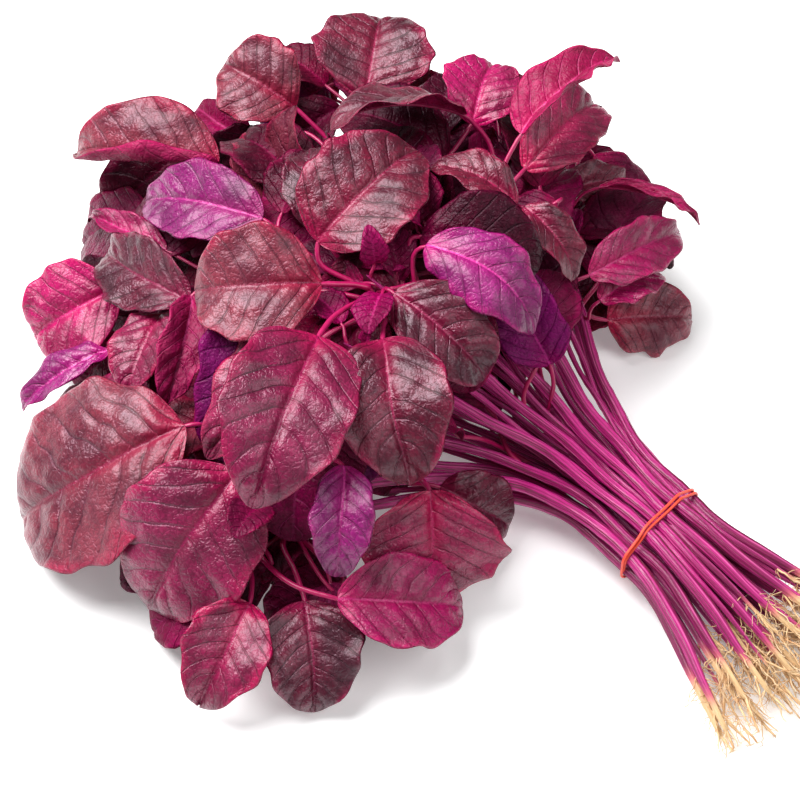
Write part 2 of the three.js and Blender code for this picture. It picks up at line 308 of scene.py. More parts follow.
def blade_height(graph, given):
    """How far each point of a blade rises from its smooth sheet, in millimetres."""
    along, across = graph.named("leaf_along"), graph.named("leaf_across")
    flat = graph.named("leaf_flat", "FLOAT_VECTOR")
    x, _, seed = graph.parts(flat)
    out = abs(across)
    ends = graph.ramp(along, 0.0, 0.12) * graph.ramp(along, 0.86, 1.0, 1.0, 0.25)
    patches = graph.noise(flat, 60.0, 1.0)

    pillow = graph.math("SINE", vein_step(graph, along, across, flat, given) * math.pi) ** 0.65
    calm = graph.ramp(graph.noise(flat, 30.0, 1.0), 0.32, 0.62, 0.35, 1.15)
    quilt = given["Quilting"] * calm * pillow * (1.0 - 0.97 * out**2.5) * ends
    bumps = given["Pucker"] * (1.0 - 1.6 * graph.cells(flat, 230.0, "SMOOTH_F1")) * ends
    bumps = bumps * graph.ramp(patches, 0.3, 0.65, 0.25, 1.5)
    swell = given["Undulation"] * (graph.noise(flat, 40.0) - 0.5) * 2.6 * graph.ramp(out, 0.0, 0.5)
    phase = along * 17.0 + graph.noise(flat, 26.0, 1.0) * 11.0 + seed * 40.0
    wave = given["Margin wave"] * graph.math("SINE", phase) * out**3 * ends
    valley = 1.0 - graph.math("EXPONENT", abs(x) * (-1.0 / (5 * MM)))
    valley = given["Midrib valley"] * valley * ends
    return (quilt + bumps) * graph.ramp(out, 0.0, 0.12) + swell + wave + valley


def relief_tree():
    """Turns a smooth blade and its stalk line into a leaf with sunken veins and a thickness."""
    graph, given, end = shape_group("Leaf relief", {
        "Vein pairs": VEIN_PAIRS,
        "Vein lean": VEIN_LEAN,
        "Quilting": 0.8,
        "Pucker": 0.3,
        "Undulation": 1.6,
        "Margin wave": 1.4,
        "Midrib valley": 2.2,
        "Thickness": 0.35,
        "Floor": 0.15,
        "Upper face": "material",
        "Underside": "material",
        "Stalk": "material",
    })
    is_stalk = graph.math("GREATER_THAN", graph.named("girth"), 0.0)
    split = graph.node(
        "GeometryNodeSeparateGeometry",
        {"Geometry": given["Geometry"], "Selection": is_stalk},
        domain="POINT",
    )
    normal = graph.shape("InputNormal")
    rise = graph.scaled(normal, blade_height(graph, given) * MM)
    raised = graph.floored(graph.moved(split.outputs["Inverted"], Offset=rise), given["Floor"])

    half = graph.named("leaf_rim") * given["Thickness"] * (0.5 * MM)
    upper = graph.moved(raised, Offset=graph.scaled(normal, half))
    lower = graph.moved(raised, Offset=graph.scaled(normal, half * -1.0))
    lower = graph.shape("FlipFaces", {"Mesh": lower})
    shell = graph.joined(
        graph.painted(upper, given["Upper face"]), graph.painted(lower, given["Underside"])
    )
    blade = graph.shape("MergeByDistance", {"Geometry": shell, "Distance": 2 * WELD})

    line = graph.shape("MeshToCurve", {"Mesh": split.outputs["Selection"]})
    stalk = graph.swept(line, graph.circle(STALK_SIDES), graph.named("girth"))
    whole = graph.joined(graph.painted(stalk, given["Stalk"]), blade)
    return graph.finish(end, graph.floored(whole, given["Floor"]))


def stem_tree():
    """Sweeps a faintly ribbed section along each centre line, with a grain along it."""
    graph, given, end = shape_group("Ribbed stem", {
        "Sides": 18,
        "Ribs": 6,
        "Rib depth": 0.06,
        "Unevenness": 0.25,
        "Floor": 0.1,
        "Finish": "material",
    })
    place = graph.shape("InputPosition")
    x, y, _ = graph.parts(place)
    angle = graph.math("ARCTAN2", y, x)
    depth = given["Rib depth"] * graph.math("COSINE", angle * given["Ribs"])
    ribbed = graph.moved(graph.circle(given["Sides"]), Offset=graph.scaled(place, depth))
    around = graph.stored(ribbed, "around", place, "FLOAT_VECTOR")
    line = graph.shape("MeshToCurve", {"Mesh": given["Geometry"]})
    tube = graph.swept(line, around, graph.named("girth"))
    lump = (graph.noise(place, 160.0) - 0.5) * given["Unevenness"] * MM
    rough = graph.moved(tube, Offset=graph.scaled(graph.shape("InputNormal"), lump))
    kept = graph.floored(rough, given["Floor"])
    return graph.finish(end, graph.painted(kept, given["Finish"]))


def rootlet_tree():
    """Grows curly side roots from points along each taproot's line."""
    graph, given, end = shape_group("Side roots", {
        "Roots per taproot": 34,
        "Shortest": 0.004,
        "Longest": 0.018,
        "Curl": 6.0,
        "Thickness": 0.2,
        "Spread": 1.1,
        "Floor": 0.12,
        "Seed": 3,
        "Finish": "material",
    })
    line = graph.shape("MeshToCurve", {"Mesh": given["Geometry"]})
    seats = graph.node(
        "GeometryNodeCurveToPoints", {"Curve": line, "Count": given["Roots per taproot"]}
    )
    strand = graph.shape("CurvePrimitiveLine", {"End": (0, 0, 1)})
    fine = graph.shape("ResampleCurve", {"Curve": strand, "Count": ROOT_POINTS})
    aside = graph.node(
        "FunctionNodeRandomValue",
        {"Min": (-1, -1, -1), "Max": (1, 1, 0.6), "Seed": given["Seed"]},
        data_type="FLOAT_VECTOR",
    )
    wild = graph.scaled(aside.outputs[0], given["Spread"])
    heading = graph.vectors("SUBTRACT", wild, seats.outputs["Tangent"])
    turned = graph.node("FunctionNodeAlignRotationToVector", {"Vector": heading}, axis="Z")
    length = graph.node(
        "FunctionNodeRandomValue",
        {2: given["Shortest"], 3: given["Longest"], "Seed": given["Seed"]},
        data_type="FLOAT",
    )
    placed = graph.shape("InstanceOnPoints", {
        "Points": seats.outputs["Points"],
        "Instance": fine,
        "Rotation": turned.outputs[0],
        "Scale": length.outputs[1],
    })
    strands = graph.shape("RealizeInstances", {"Geometry": placed})
    factor = graph.node("GeometryNodeSplineParameter").outputs["Factor"]
    stored = graph.stored(strands, "run", factor, "FLOAT")
    curls = graph.noise(graph.shape("InputPosition"), 210.0, output="Color")
    centred = graph.vectors("SUBTRACT", curls, (0.5, 0.5, 0.55))
    run = graph.named("run")
    curled = graph.moved(stored, Offset=graph.scaled(centred, run * given["Curl"] * (2 * MM)))
    kept = graph.floored(curled, given["Floor"], CAD_BOX[1][0] + ROOT_REACH)
    tube = graph.swept(kept, graph.circle(ROOT_SIDES), given["Thickness"] * (1.0 - 0.72 * run))
    return graph.finish(end, graph.painted(tube, given["Finish"]))


def run_tree(name, mesh, tree, inputs):
    """Runs a tree over a mesh, and keeps the result as a plain mesh object that rides the body."""
    piece = bpy.data.objects.new(name, mesh)
    bpy.context.scene.collection.objects.link(piece)
    modifier = piece.modifiers.new("Shape", "NODES")
    modifier.node_group = tree
    for item in tree.interface.items_tree:
        if item.in_out == "INPUT" and item.name in inputs:
            modifier[item.identifier] = inputs[item.name]
    depsgraph = bpy.context.evaluated_depsgraph_get()
    result = bpy.data.meshes.new_from_object(piece.evaluated_get(depsgraph))
    piece.modifiers.remove(modifier)
    piece.data = result
    result.name = name
    if not result.polygons:
        raise RuntimeError(f"{name} came out of its node tree with no faces")
    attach(piece, BODY)
    return piece


# ---------------------------------------------------------------- reading the frame


def welded(node):
    """A CAD node's mesh for editing, with each corner once."""
    skin = bmesh.new()
    skin.from_mesh(frame["nodes"][node].data)
    bmesh.ops.remove_doubles(skin, verts=skin.verts, dist=WELD)
    return skin


def merged(node):
    """A CAD node's corners, each once, and the neighbours of each."""
    skin = welded(node)
    skin.verts.index_update()
    points = np.array([v.co[:] for v in skin.verts])
    near = [[e.other_vert(v).index for e in v.link_edges] for v in skin.verts]
    skin.free()
    return points, near


def in_turn(layer, near):
    """A ring's corners, from neighbour to neighbour."""
    turn = [layer[0]]
    while len(turn) < len(layer):
        turn.append(next(n for n in near[turn[-1]] if n in layer and n not in turn))
    return turn


def ring_rows(node, sides):
    """The rings of a swept CAD node in order, each as its points in turn, with its two poles."""
    points, near = merged(node)
    for pole in range(len(points)):
        if len(near[pole]) != sides:
            continue
        layers, seen = [[pole]], {pole}
        while layers[-1]:
            layer = sorted({n for v in layers[-1] for n in near[v]} - seen)
            layers.append(layer)
            seen |= set(layer)
        layers.pop()
        sizes = [len(layer) for layer in layers]
        if sizes == [1] + [sides] * (len(sizes) - 2) + [1]:
            return [points[in_turn(layer, near)] for layer in layers]
    raise RuntimeError(f"{node} has no swept rings")


def unit(vector):
    return vector / max(np.linalg.norm(vector), 1e-12)


def distances(line):
    """How far each point of a line lies from its start, along it."""
    return np.concatenate([[0], np.cumsum(np.linalg.norm(np.diff(line, axis=0), axis=1))])


def chained(line):
    """Edges from each point of a line to the next."""
    return [[i, i + 1] for i in range(len(line) - 1)]


def smooth_line(knots, step):
    """A Catmull-Rom line through the knots, with points about a step apart."""
    knots = np.asarray(knots, float)
    padded = np.vstack([2 * knots[0] - knots[1], knots, 2 * knots[-1] - knots[-2]])
    line = []
    for a, b, c, d in zip(padded, padded[1:], padded[2:], padded[3:]):
        count = max(1, round(np.linalg.norm(c - b) / step))
        t = np.arange(count)[:, None] / count
        line.append(
            0.5 * (2 * b + (c - a) * t + (2 * a - 5 * b + 4 * c - d) * t**2
                   + (3 * b - a - 3 * c + d) * t**3)
        )
    return np.vstack([*line, knots[-1]])


def cad_outline(along, broad_at):
    return np.sin(np.pi * along ** (math.log(0.5) / math.log(broad_at))) ** CAD_FULLNESS


class Leaf:
    """One leaf: a blade on an arched midrib from base to tip, and the line of its stalk."""

    def __init__(self, base, tip, face, arch, half, broad_at, cups, stalk, seed):
        self.base, self.tip, self.face = base, tip, unit(face)
        self.arch, self.half, self.broad_at, self.cups = arch, half, broad_at, cups
        self.stalk, self.seed = stalk, seed
        self.length = np.linalg.norm(tip - base)

    def spine(self, along):
        """Midrib points, and the tangent, right and face directions there."""
        along = np.asarray(along, float)[:, None]
        chord = self.tip - self.base
        points = self.base + chord * along + self.face * 4 * along * (1 - along) * self.arch
        slope = chord + self.face * 4 * (1 - 2 * along) * self.arch
        slope /= np.linalg.norm(slope, axis=1, keepdims=True)
        right = np.cross(slope, self.face)
        right /= np.linalg.norm(right, axis=1, keepdims=True)
        return points, slope, right, np.cross(right, slope)


def ring_middles(blade):
    """The middle of each of a blade's rings, and its two edge points."""
    quarter, half_turn = LEAF_SIDES // 4, LEAF_SIDES // 2
    mids, edges = [], []
    for row in blade:
        first = max(range(half_turn), key=lambda i: np.linalg.norm(row[i] - row[i + half_turn]))
        mids.append((row[first + quarter] + row[(first - quarter) % LEAF_SIDES]) / 2)
        edges.append((row[first], row[first + half_turn]))
    return np.array(mids), edges


def fit_outline(along, halves):
    """The half width and the broadest place whose outline comes closest to the rings."""
    best = (math.inf, 0, 0)
    for broad_at in np.linspace(0.34, 0.6, 53):
        shape = cad_outline(along, broad_at)
        size = halves @ shape / (shape @ shape)
        best = min(best, (float(np.sum((halves - size * shape) ** 2)), size, broad_at))
    return best[1], best[2]


def read_leaf(node, seed):
    """Recovers a leaf's few numbers from the rings of its CAD node."""
    rows = ring_rows(node, LEAF_SIDES)

    def span(row):
        return max(np.linalg.norm(row - p, axis=1).max() for p in row)

    if span(rows[1]) + span(rows[2]) > span(rows[-2]) + span(rows[-3]):
        rows.reverse()
    heel, petiole = rows[0][0], rows[1 : 1 + PETIOLE_RINGS]
    blade, tip = rows[1 + PETIOLE_RINGS : -1], rows[-1][0]
    steps = np.arange(BLADE_RINGS) / BLADE_RINGS
    along = 0.5 * steps + 0.5 * steps**2 * (3 - 2 * steps)
    mids, edges = ring_middles(blade)
    base, chord = mids[0], tip - mids[0]
    bulges = mids - (base + chord * along[:, None])
    bulges -= np.outer(bulges @ unit(chord), unit(chord))
    # Rings near the floor were flattened by it, so they say nothing of the arch and the bends
    clear = [i for i in range(2, BLADE_RINGS) if mids[i][2] > 2 * MM] or [2, 3]
    face = unit(sum(bulges[i] for i in clear))
    arch = float(np.median([bulges[i] @ face / (4 * along[i] * (1 - along[i])) for i in clear]))
    leaf = Leaf(base, tip, face, arch, 0, 0.5, (0, 0), None, seed)
    _, _, right, out = leaf.spine(along)
    cups, halves = ([], []), []
    for i, pair in enumerate(edges):
        spans = []
        for edge in pair:
            reach = edge - mids[i]
            side, lift = reach @ right[i], reach @ out[i]
            bow = math.atan2(lift, abs(side))
            spans.append(math.hypot(side, lift) * (bow / math.sin(bow) if abs(bow) > 1e-4 else 1))
            if i in clear:
                cups[int(side > 0)].append(2 * bow)
        halves.append(max(spans))
    leaf.cups = tuple(float(np.median(c)) for c in cups)
    leaf.half, leaf.broad_at = fit_outline(along, np.array(halves))
    leaf.stalk = np.array([heel] + [row.mean(axis=0) for row in petiole] + [base])
    return leaf


def read_stem(node):
    """A stem's centre line, root first, and its radius at each ring."""
    rows = ring_rows(node, STEM_SIDES)
    if rows[0][0][0] < rows[-1][0][0]:
        rows.reverse()
    centres = np.array([row.mean(axis=0) for row in rows])
    radii = [np.linalg.norm(row - row.mean(axis=0), axis=1).mean() for row in rows]
    return centres, np.array(radii)


# ---------------------------------------------------------------- base meshes

BLADE_FLOOR = 0.9 * MM
STALK_FLOOR = 1.0 * MM
# Below this bend, in radians, a half blade counts as flat
FLAT_BEND = 1e-3
# Sets the leaves apart in the noise of their relief and colour
SEED_STEP = 0.137


class Sheet:
    """Points, faces, edges and point attributes, gathered from several shapes into one mesh."""

    def __init__(self):
        self.points, self.faces, self.edges, self.values = [], [], [], {}
        self.count = 0

    def add(self, points, faces=(), edges=(), **values):
        shift = self.count
        self.points.append(points)
        self.faces += [[shift + i for i in face] for face in faces]
        self.edges += [[shift + i for i in edge] for edge in edges]
        self.count += len(points)
        for name, value in values.items():
            self.values.setdefault(name, []).append((shift, np.asarray(value, float)))

    def mesh(self, name):
        made = bpy.data.meshes.new(name)
        made.from_pydata(np.vstack(self.points).tolist(), self.edges, self.faces)
        for label, runs in self.values.items():
            wide = runs[0][1].ndim == 2
            column = np.zeros((self.count, 3) if wide else self.count, np.float32)
            for shift, value in runs:
                column[shift : shift + len(value)] = value
            kind = "FLOAT_VECTOR" if wide else "FLOAT"
            made.attributes.new(label, kind, "POINT").data.foreach_set(
                "vector" if wide else "value", column.ravel()
            )
        made.update()
        return made


def blade_lines(leaf, along, looseness, rng):
    """Midrib points with a slight twist, sway and droop, and the right and face directions."""
    points, _, right, out = leaf.spine(along)
    twist = np.radians(rng.uniform(-9, 9) * looseness) * (along - 0.25)[:, None]
    turned_right = right * np.cos(twist) + out * np.sin(twist)
    turned_out = out * np.cos(twist) - right * np.sin(twist)
    sway = rng.uniform(-0.035, 0.035) * looseness * leaf.length
    points = points + right * (sway * np.sin(np.pi * along) ** 2)[:, None]
    droop = 0.05 * leaf.length * np.clip(along - 0.72, 0, 1) ** 2 / 0.08
    return points - out * droop[:, None], turned_right, turned_out, out


def blade_grid(leaf, along, across, fullness, looseness, rng):
    """The blade's points by row, and its half width, midrib and face direction at each row."""
    points, right, out, plain_out = blade_lines(leaf, along, looseness, rng)
    power = math.log(0.5) / math.log(leaf.broad_at)
    width = leaf.half * np.sin(np.pi * along**power).clip(0, 1) ** fullness
    width *= 1 + 0.035 * np.sin(along * rng.uniform(9, 16) + rng.uniform(0, 6))
    notches = [1 + 0.03 * np.sin(along * rng.uniform(18, 34) + rng.uniform(0, 6)) for _ in (0, 1)]
    ripple = rng.uniform(0, 6, 2)
    grid = np.zeros((len(along), len(across), 3))
    for j, share in enumerate(across):
        side = int(share > 0)
        bend = leaf.cups[side] * abs(share) * (1 + 0.3 * np.sin(along * 5 + ripple[side]))
        bend = np.where(np.abs(bend) < FLAT_BEND, FLAT_BEND, bend)
        reach = width * (1 + (notches[side] - 1) * share * share)
        x = reach * share * np.sin(bend) / bend
        z = reach * abs(share) * (1 - np.cos(bend)) / bend
        grid[:, j] = points + right * x[:, None] + out * z[:, None]
    grid[..., 2] = np.maximum(grid[..., 2], BLADE_FLOOR)
    return grid, width, points, plain_out


def grid_faces(rows, columns):
    """Faces of a grid whose first and last rows are one point each."""
    index = np.zeros((rows + 1, columns + 1), int)
    index[1:-1] = 1 + np.arange((rows - 1) * (columns + 1)).reshape(rows - 1, columns + 1)
    index[-1] = (rows - 1) * (columns + 1) + 1
    faces = []
    for i in range(rows):
        for j in range(columns):
            corners = [index[i, j], index[i, j + 1], index[i + 1, j + 1], index[i + 1, j]]
            if i == 0:
                corners.pop(0)
            elif i == rows - 1:
                corners.pop()
            faces.append(corners)
    return faces


def add_blade(sheet, leaf, cell, fullness, rng, looseness=1.0, tints=(-1.0, 1.0)):
    """The blade as a smooth grid of cells, closed to a point at base and tip."""
    rows = max(10, round(leaf.length / cell))
    columns = 2 * max(4, round(leaf.half / cell))
    steps = np.arange(rows + 1) / rows
    along = 0.4 * steps + 0.6 * (1 - np.cos(np.pi * steps)) / 2
    across = np.linspace(-1, 1, columns + 1)
    across = 0.75 * across + 0.25 * np.sin(across * np.pi / 2)
    grid, width, spine, out = blade_grid(leaf, along, across, fullness, looseness, rng)

    def spread(table, first=0, final=0):
        """A table of the grid's points, with one value for each end."""
        full = np.broadcast_to(table, grid.shape[:2])
        return np.concatenate([[first], full[1:-1].ravel(), [final]])

    rim = np.abs(across) < 1
    places = [spread(grid[..., axis], *grid[[0, -1], columns // 2, axis]) for axis in range(3)]
    runs = spread(along[:, None], 0, 1)
    flat = [spread(width[:, None] * across), spread(along[:, None] * leaf.length, 0, leaf.length),
            np.full(len(runs), leaf.seed * SEED_STEP)]
    sheet.add(
        np.stack(places, axis=1),
        grid_faces(rows, columns),
        leaf_along=runs,
        leaf_across=spread(across),
        leaf_rim=spread(rim),
        leaf_flat=np.stack(flat, axis=1),
        leaf_tint=np.full(len(runs), rng.uniform(*tints)),
    )
    add_stalk(sheet, leaf, along, spine, out)


def add_stalk(sheet, leaf, along, spine, out):
    """The petiole's line from the stem to the blade, and on under the midrib to its tip."""
    petiole = smooth_line(leaf.stalk, 2.2 * MM)[:-1]
    scale = min(1.0, 0.45 + leaf.half / (40 * MM))
    run = np.linspace(0, 1, len(petiole))
    # Widest where it leaves the stem, then nearly even
    girth = scale * (1.15 - 0.1 * run + 0.5 * np.exp(-run * 14))
    keep = np.arange(1, len(along) - 1, 2)
    keep = keep[along[keep] < 0.95]
    rib_girth = scale * (0.95 - 0.72 * along[keep] ** 0.5)
    rib = spine[keep] - out[keep] * ((rib_girth - 0.12).clip(0.1) * MM)[:, None]
    points = np.vstack([petiole, rib])
    points[:, 2] = np.maximum(points[:, 2], STALK_FLOOR)
    girth = np.concatenate([girth, rib_girth])
    girth[0] = girth[-1] = 0.15
    sheet.add(points, edges=chained(points), girth=girth,
              leaf_along=np.concatenate([run - 1, along[keep]]))


# ---------------------------------------------------------------- finishes


def linear(red, green, blue):
    """A shader colour from 0-255 display values."""
    shares = (red / 255, green / 255, blue / 255)
    return (*(((c + 0.055) / 1.055) ** 2.4 if c > 0.04 else c / 12.92 for c in shares), 1.0)


def face_colours(tissue, shade, flush, vein):
    """The four colours of a leaf's face, for its skin's sockets, and that of its dark veins."""
    red, green, blue, _ = linear(*shade)
    return {
        "Tissue": linear(*tissue),
        "Shade": linear(*shade),
        "Flush": linear(*flush),
        "Vein": linear(*vein),
        "Dark vein": (0.7 * red, 0.3 * green, 0.8 * blue, 1.0),
    }


LEAF_TONES = {
    "leaf_dark": face_colours((98, 10, 40), (44, 2, 18), (142, 4, 62), (140, 10, 66)),
    "leaf_wine": face_colours((138, 24, 70), (82, 6, 38), (178, 6, 76), (158, 12, 78)),
    "leaf_brown": face_colours((126, 44, 60), (74, 14, 34), (162, 12, 62), (136, 16, 60)),
    "leaf_violet": face_colours((142, 24, 106), (88, 4, 66), (164, 6, 104), (206, 50, 146)),
    "leaf_magenta": face_colours((166, 12, 88), (108, 2, 50), (194, 6, 94), (210, 40, 122)),
}
UNDERSIDE = face_colours((148, 4, 72), (106, 2, 44), (174, 4, 84), (200, 60, 124))
# The leaves whose colour differs from their group's
OTHER_TONES = {
    "leaf_peak_1": "leaf_magenta",
    "leaf_peak_2": "leaf_wine",
    "leaf_front_3": "leaf_wine",
    "leaf_front_7": "leaf_wine",
    "leaf_right_2": "leaf_magenta",
    "leaf_front_5": "leaf_magenta",
    "leaf_top_1": "leaf_dark",
    "leaf_left_4": "leaf_dark",
}
# The leaves that show a plain crimson face
CRIMSON_FACES = {"leaf_peak_1", "leaf_left_6"}
# The leaves folded along the midrib, and how far the half nearer the viewer stands up, in radians
FOLDS = {"leaf_far_1": 2.8}


def new_material(name):
    material = bpy.data.materials.new(name)
    material.use_nodes = True
    graph = Graph(material.node_tree)
    return material, graph, material.node_tree.nodes["Principled BSDF"]


def feed_skin(graph, shader, inputs, height=None, depth=0.0):
    """Fills a shader's sockets, and gives it a fine relief where there is a height."""
    for label, value in inputs.items():
        graph.feed(shader.inputs[label], value)
    if height is not None:
        bump = graph.node("ShaderNodeBump", {"Height": height, "Distance": depth})
        graph.feed(shader.inputs["Normal"], bump.outputs[0])


def leaf_skin_group():
    """Colour, roughness and fine relief of a leaf's face, from its veins outwards."""
    graph, given, end = new_group(
        "ShaderNodeTree",
        "Leaf skin",
        {
            **LEAF_TONES["leaf_wine"],
            "Vein pairs": VEIN_PAIRS,
            "Vein lean": VEIN_LEAN,
            "Side veins": 0.5,
            "Flush width": 0.3,
            "Roughness": 0.4,
        },
        {"Color": "color", "Roughness": "value", "Height": "value"},
    )
    along, across = graph.named("leaf_along"), graph.named("leaf_across")
    flat = graph.named("leaf_flat", "FLOAT_VECTOR")
    tint = graph.named("leaf_tint")
    aside = abs(graph.parts(flat)[0])
    out = abs(across)
    waver = graph.noise(flat, 300.0)
    speck = graph.noise(flat, 1100.0, 3.0, 0.65)

    # Side veins, with painted shade on the sunken tissue beside them, and the midrib
    step = vein_step(graph, along, across, flat, given)
    gap = vein_gap(step) + (waver - 0.5) * 0.07
    lateral = graph.ramp(gap, 0.008, 0.036, 1.0, 0.0) * graph.ramp(out, 0.55, 1.0, 1.0, 0.35)
    vein_valley_shade = graph.ramp(gap, 0.0, 0.2, 1.0, 0.0) * graph.ramp(out, 0.3, 1.0, 1.0, 0.3)
    far_vein = lateral * graph.ramp(aside, 0.0, 16.0 * MM, 0.35, 0.75)
    near_vein = lateral * graph.ramp(aside, 2.0 * MM, 14.0 * MM, 1.0, 0.0) * given["Side veins"]
    midrib = graph.ramp(aside, 0.25 * MM, 0.65 * MM, 1.0, 0.0)
    midrib = midrib * graph.ramp(along, 0.15, 0.9, 0.85, 0.3)
    beside = graph.ramp(aside, 0.5 * MM, 6.0 * MM, 1.0, 0.0)
    beside = beside * graph.ramp(along, 0.15, 0.7, 0.4, 0.05)

    # The net of fine veins, on a warped plane
    warp = graph.scaled(graph.noise(flat, 260.0, output="Color"), 3.2 * MM)
    bent = graph.vectors("ADD", warp, flat)
    net = graph.cells(bent, 400.0, "DISTANCE_TO_EDGE")
    fine_net = graph.cells(bent, 900.0, "DISTANCE_TO_EDGE")
    netting = graph.ramp(net, 0.0, 0.075, 1.0, 0.0)

    # Patches, and the flush of the margin and the heel
    mottle = graph.ramp(graph.noise(flat, 62.0, 4.0, 0.6), 0.36, 0.66)
    bloom = graph.ramp(graph.noise(flat, 34.0, 3.0, 0.6), 0.35, 0.7)
    ragged = out + (graph.noise(flat, 60.0, 3.0) - 0.5) * 0.7
    edge = graph.ramp(ragged, 1.0 - given["Flush width"], 1.05)
    heel = graph.ramp(along, 0.0, 0.2, 0.9, 0.0)

    colour = given["Tissue"]
    for share, label in (
        (mottle * 0.8, "Shade"),
        (graph.math("MAXIMUM", edge * 0.7, heel), "Flush"),
        # Painted shade: the Shade colour laid over the sunken tissue next to each side vein
        (vein_valley_shade * 0.3, "Shade"),
        (netting * 0.5, "Dark vein"),
        (far_vein, "Dark vein"),
        (near_vein, "Vein"),
        (beside, "Flush"),
        (midrib, "Vein"),
    ):
        colour = graph.mix(share, colour, given[label])
    # The tint sets each leaf's lightness: a random tone on the large leaves, and painted shade on
    # the inner and young leaves, whose tints are low
    lightness = 1.0 + 0.2 * tint + (speck - 0.5) * 0.7
    shaded = graph.node("ShaderNodeHueSaturation", {"Color": colour, "Value": lightness})
    graph.feed(shaded.inputs["Hue"], 0.5 + 0.003 * tint)
    rough = given["Roughness"] + mottle * 0.06 + (bloom - 0.5) * 0.16 + (speck - 0.5) * 0.25
    pebble = graph.ramp(fine_net, 0.0, 0.5) * 0.1 + speck * 0.12
    height = pebble + graph.ramp(net, 0.0, 0.3) * 0.13 + waver * 0.42
    height = height + graph.ramp(gap, 0.0, 0.09) * 0.3
    for label, value in (("Color", shaded.outputs[0]), ("Roughness", rough), ("Height", height)):
        graph.feed(end.inputs[label], value)
    return graph.tree


def leaf_finish(name, group, colours, roughness, coat, gloss, side_veins=0.25, flush_width=0.24):
    material, graph, shader = new_material(name)
    veins = graph.node("ShaderNodeGroup", node_tree=group)
    widths = {"Side veins": side_veins, "Flush width": flush_width, "Roughness": roughness}
    for label, value in {**colours, **widths}.items():
        veins.inputs[label].default_value = value
    looks = {
        "Base Color": veins.outputs["Color"],
        "Roughness": veins.outputs["Roughness"],
        "Specular IOR Level": gloss,
        "Specular Tint": (1.0, 0.7, 0.84, 1.0),
        "Coat Weight": coat,
        "Coat Roughness": 0.3,
    }
    feed_skin(graph, shader, looks, veins.outputs["Height"], 1.05 * MM)
    return material


def stalk_grain_group():
    """Streaks along a stalk, and the fine relief that goes with them."""
    graph, given, end = new_group(
        "ShaderNodeTree",
        "Stalk grain",
        {"Streak scale": 1.0},
        {"Streak": "value", "Height": "value"},
    )
    x, y, _ = graph.parts(graph.named("around", "FLOAT_VECTOR"))
    length = graph.named("run")
    place = graph.vector(x * 3200.0, y * 3200.0, length * 20.0 * given["Streak scale"])
    streak = graph.noise(place, 1.0, 4.0, 0.65)
    graph.feed(end.inputs["Streak"], streak)
    graph.feed(end.inputs["Height"], streak)
    return graph.tree


def object_noise(graph, scale, detail, rough=0.5):
    """Noise in the piece's own space."""
    place = graph.node("ShaderNodeTexCoord").outputs["Object"]
    return graph.noise(place, scale, detail, rough)


def stalk_finish():
    material, graph, shader = new_material("leaf_stalk")
    share = graph.ramp(graph.named("leaf_along"), -0.6, 0.5)
    colour = graph.mix(share, linear(176, 8, 84), linear(190, 30, 100))
    colour = graph.mix(object_noise(graph, 600.0, 2.0) * 0.6, colour, linear(120, 4, 50))
    feed_skin(graph, shader, {"Base Color": colour, "Roughness": 0.34})
    return material


def stem_finish():
    material, graph, shader = new_material("stem_skin")
    along = graph.named("leaf_along")
    tint = graph.named("leaf_tint")
    grain = graph.node("ShaderNodeGroup", node_tree=stalk_grain_group())
    streak = Term(graph, grain.outputs["Streak"])
    patchy = along + (streak - 0.5) * 0.03 + 0.02 * tint
    colour = linear(132, 8, 80)
    for value, low, high, start, final, over in (
        (tint, -1.0, 1.0, 0.0, 1.0, (178, 20, 114)),
        # Brighter pink towards the crown: painted light that offsets the crown's shade on the upper
        # stems
        (along, 0.25, 0.6, 0.0, 0.7, (212, 34, 138)),
        # Dark and pale streaks: partly the stem's own striping, partly painted shade in the grooves
        # and painted highlight on the ridges
        (streak, 0.38, 0.5, 0.85, 0.0, (78, 2, 42)),
        (streak, 0.52, 0.68, 0.0, 0.7, (232, 110, 172)),
        (patchy, 0.07, 0.105, 1.0, 0.0, (206, 96, 112)),
        (patchy, 0.052, 0.085, 1.0, 0.0, (232, 194, 142)),
        (streak, 0.3, 0.5, 0.35, 0.0, (120, 60, 40)),
    ):
        colour = graph.mix(graph.ramp(value, low, high, start, final), colour, linear(*over))
    looks = {
        "Base Color": colour,
        "Roughness": graph.ramp(along, 0.12, 0.3, 0.6, 0.26) + (streak - 0.5) * 0.2,
        "Specular Tint": (1.0, 0.75, 0.9, 1.0),
        "Coat Weight": 0.3,
        "Coat Roughness": 0.14,
    }
    feed_skin(graph, shader, looks, grain.outputs["Height"], 0.6 * MM)
    return material


def root_finish():
    material, graph, shader = new_material("root_skin")
    spot = object_noise(graph, 300.0, 3.0)
    colour = graph.mix(graph.ramp(spot, 0.35, 0.7), linear(232, 198, 152), linear(196, 146, 98))
    tip = graph.ramp(graph.named("run"), 0.5, 1.0, 0.0, 0.5)
    colour = graph.mix(tip, colour, linear(246, 230, 200))
    rough = graph.ramp(spot, 0.3, 0.7, 0.5, 0.7)
    feed_skin(graph, shader, {"Base Color": colour, "Roughness": rough})
    return material


def band_finish():
    material, graph, shader = new_material("band_rubber")
    dust = object_noise(graph, 900.0, 3.0, 0.6)
    colour = graph.mix(dust, linear(226, 62, 44), linear(244, 92, 66))
    rough = graph.ramp(dust, 0.3, 0.7, 0.38, 0.52)
    feed_skin(graph, shader, {"Base Color": colour, "Roughness": rough}, dust, 0.1 * MM)
    return material


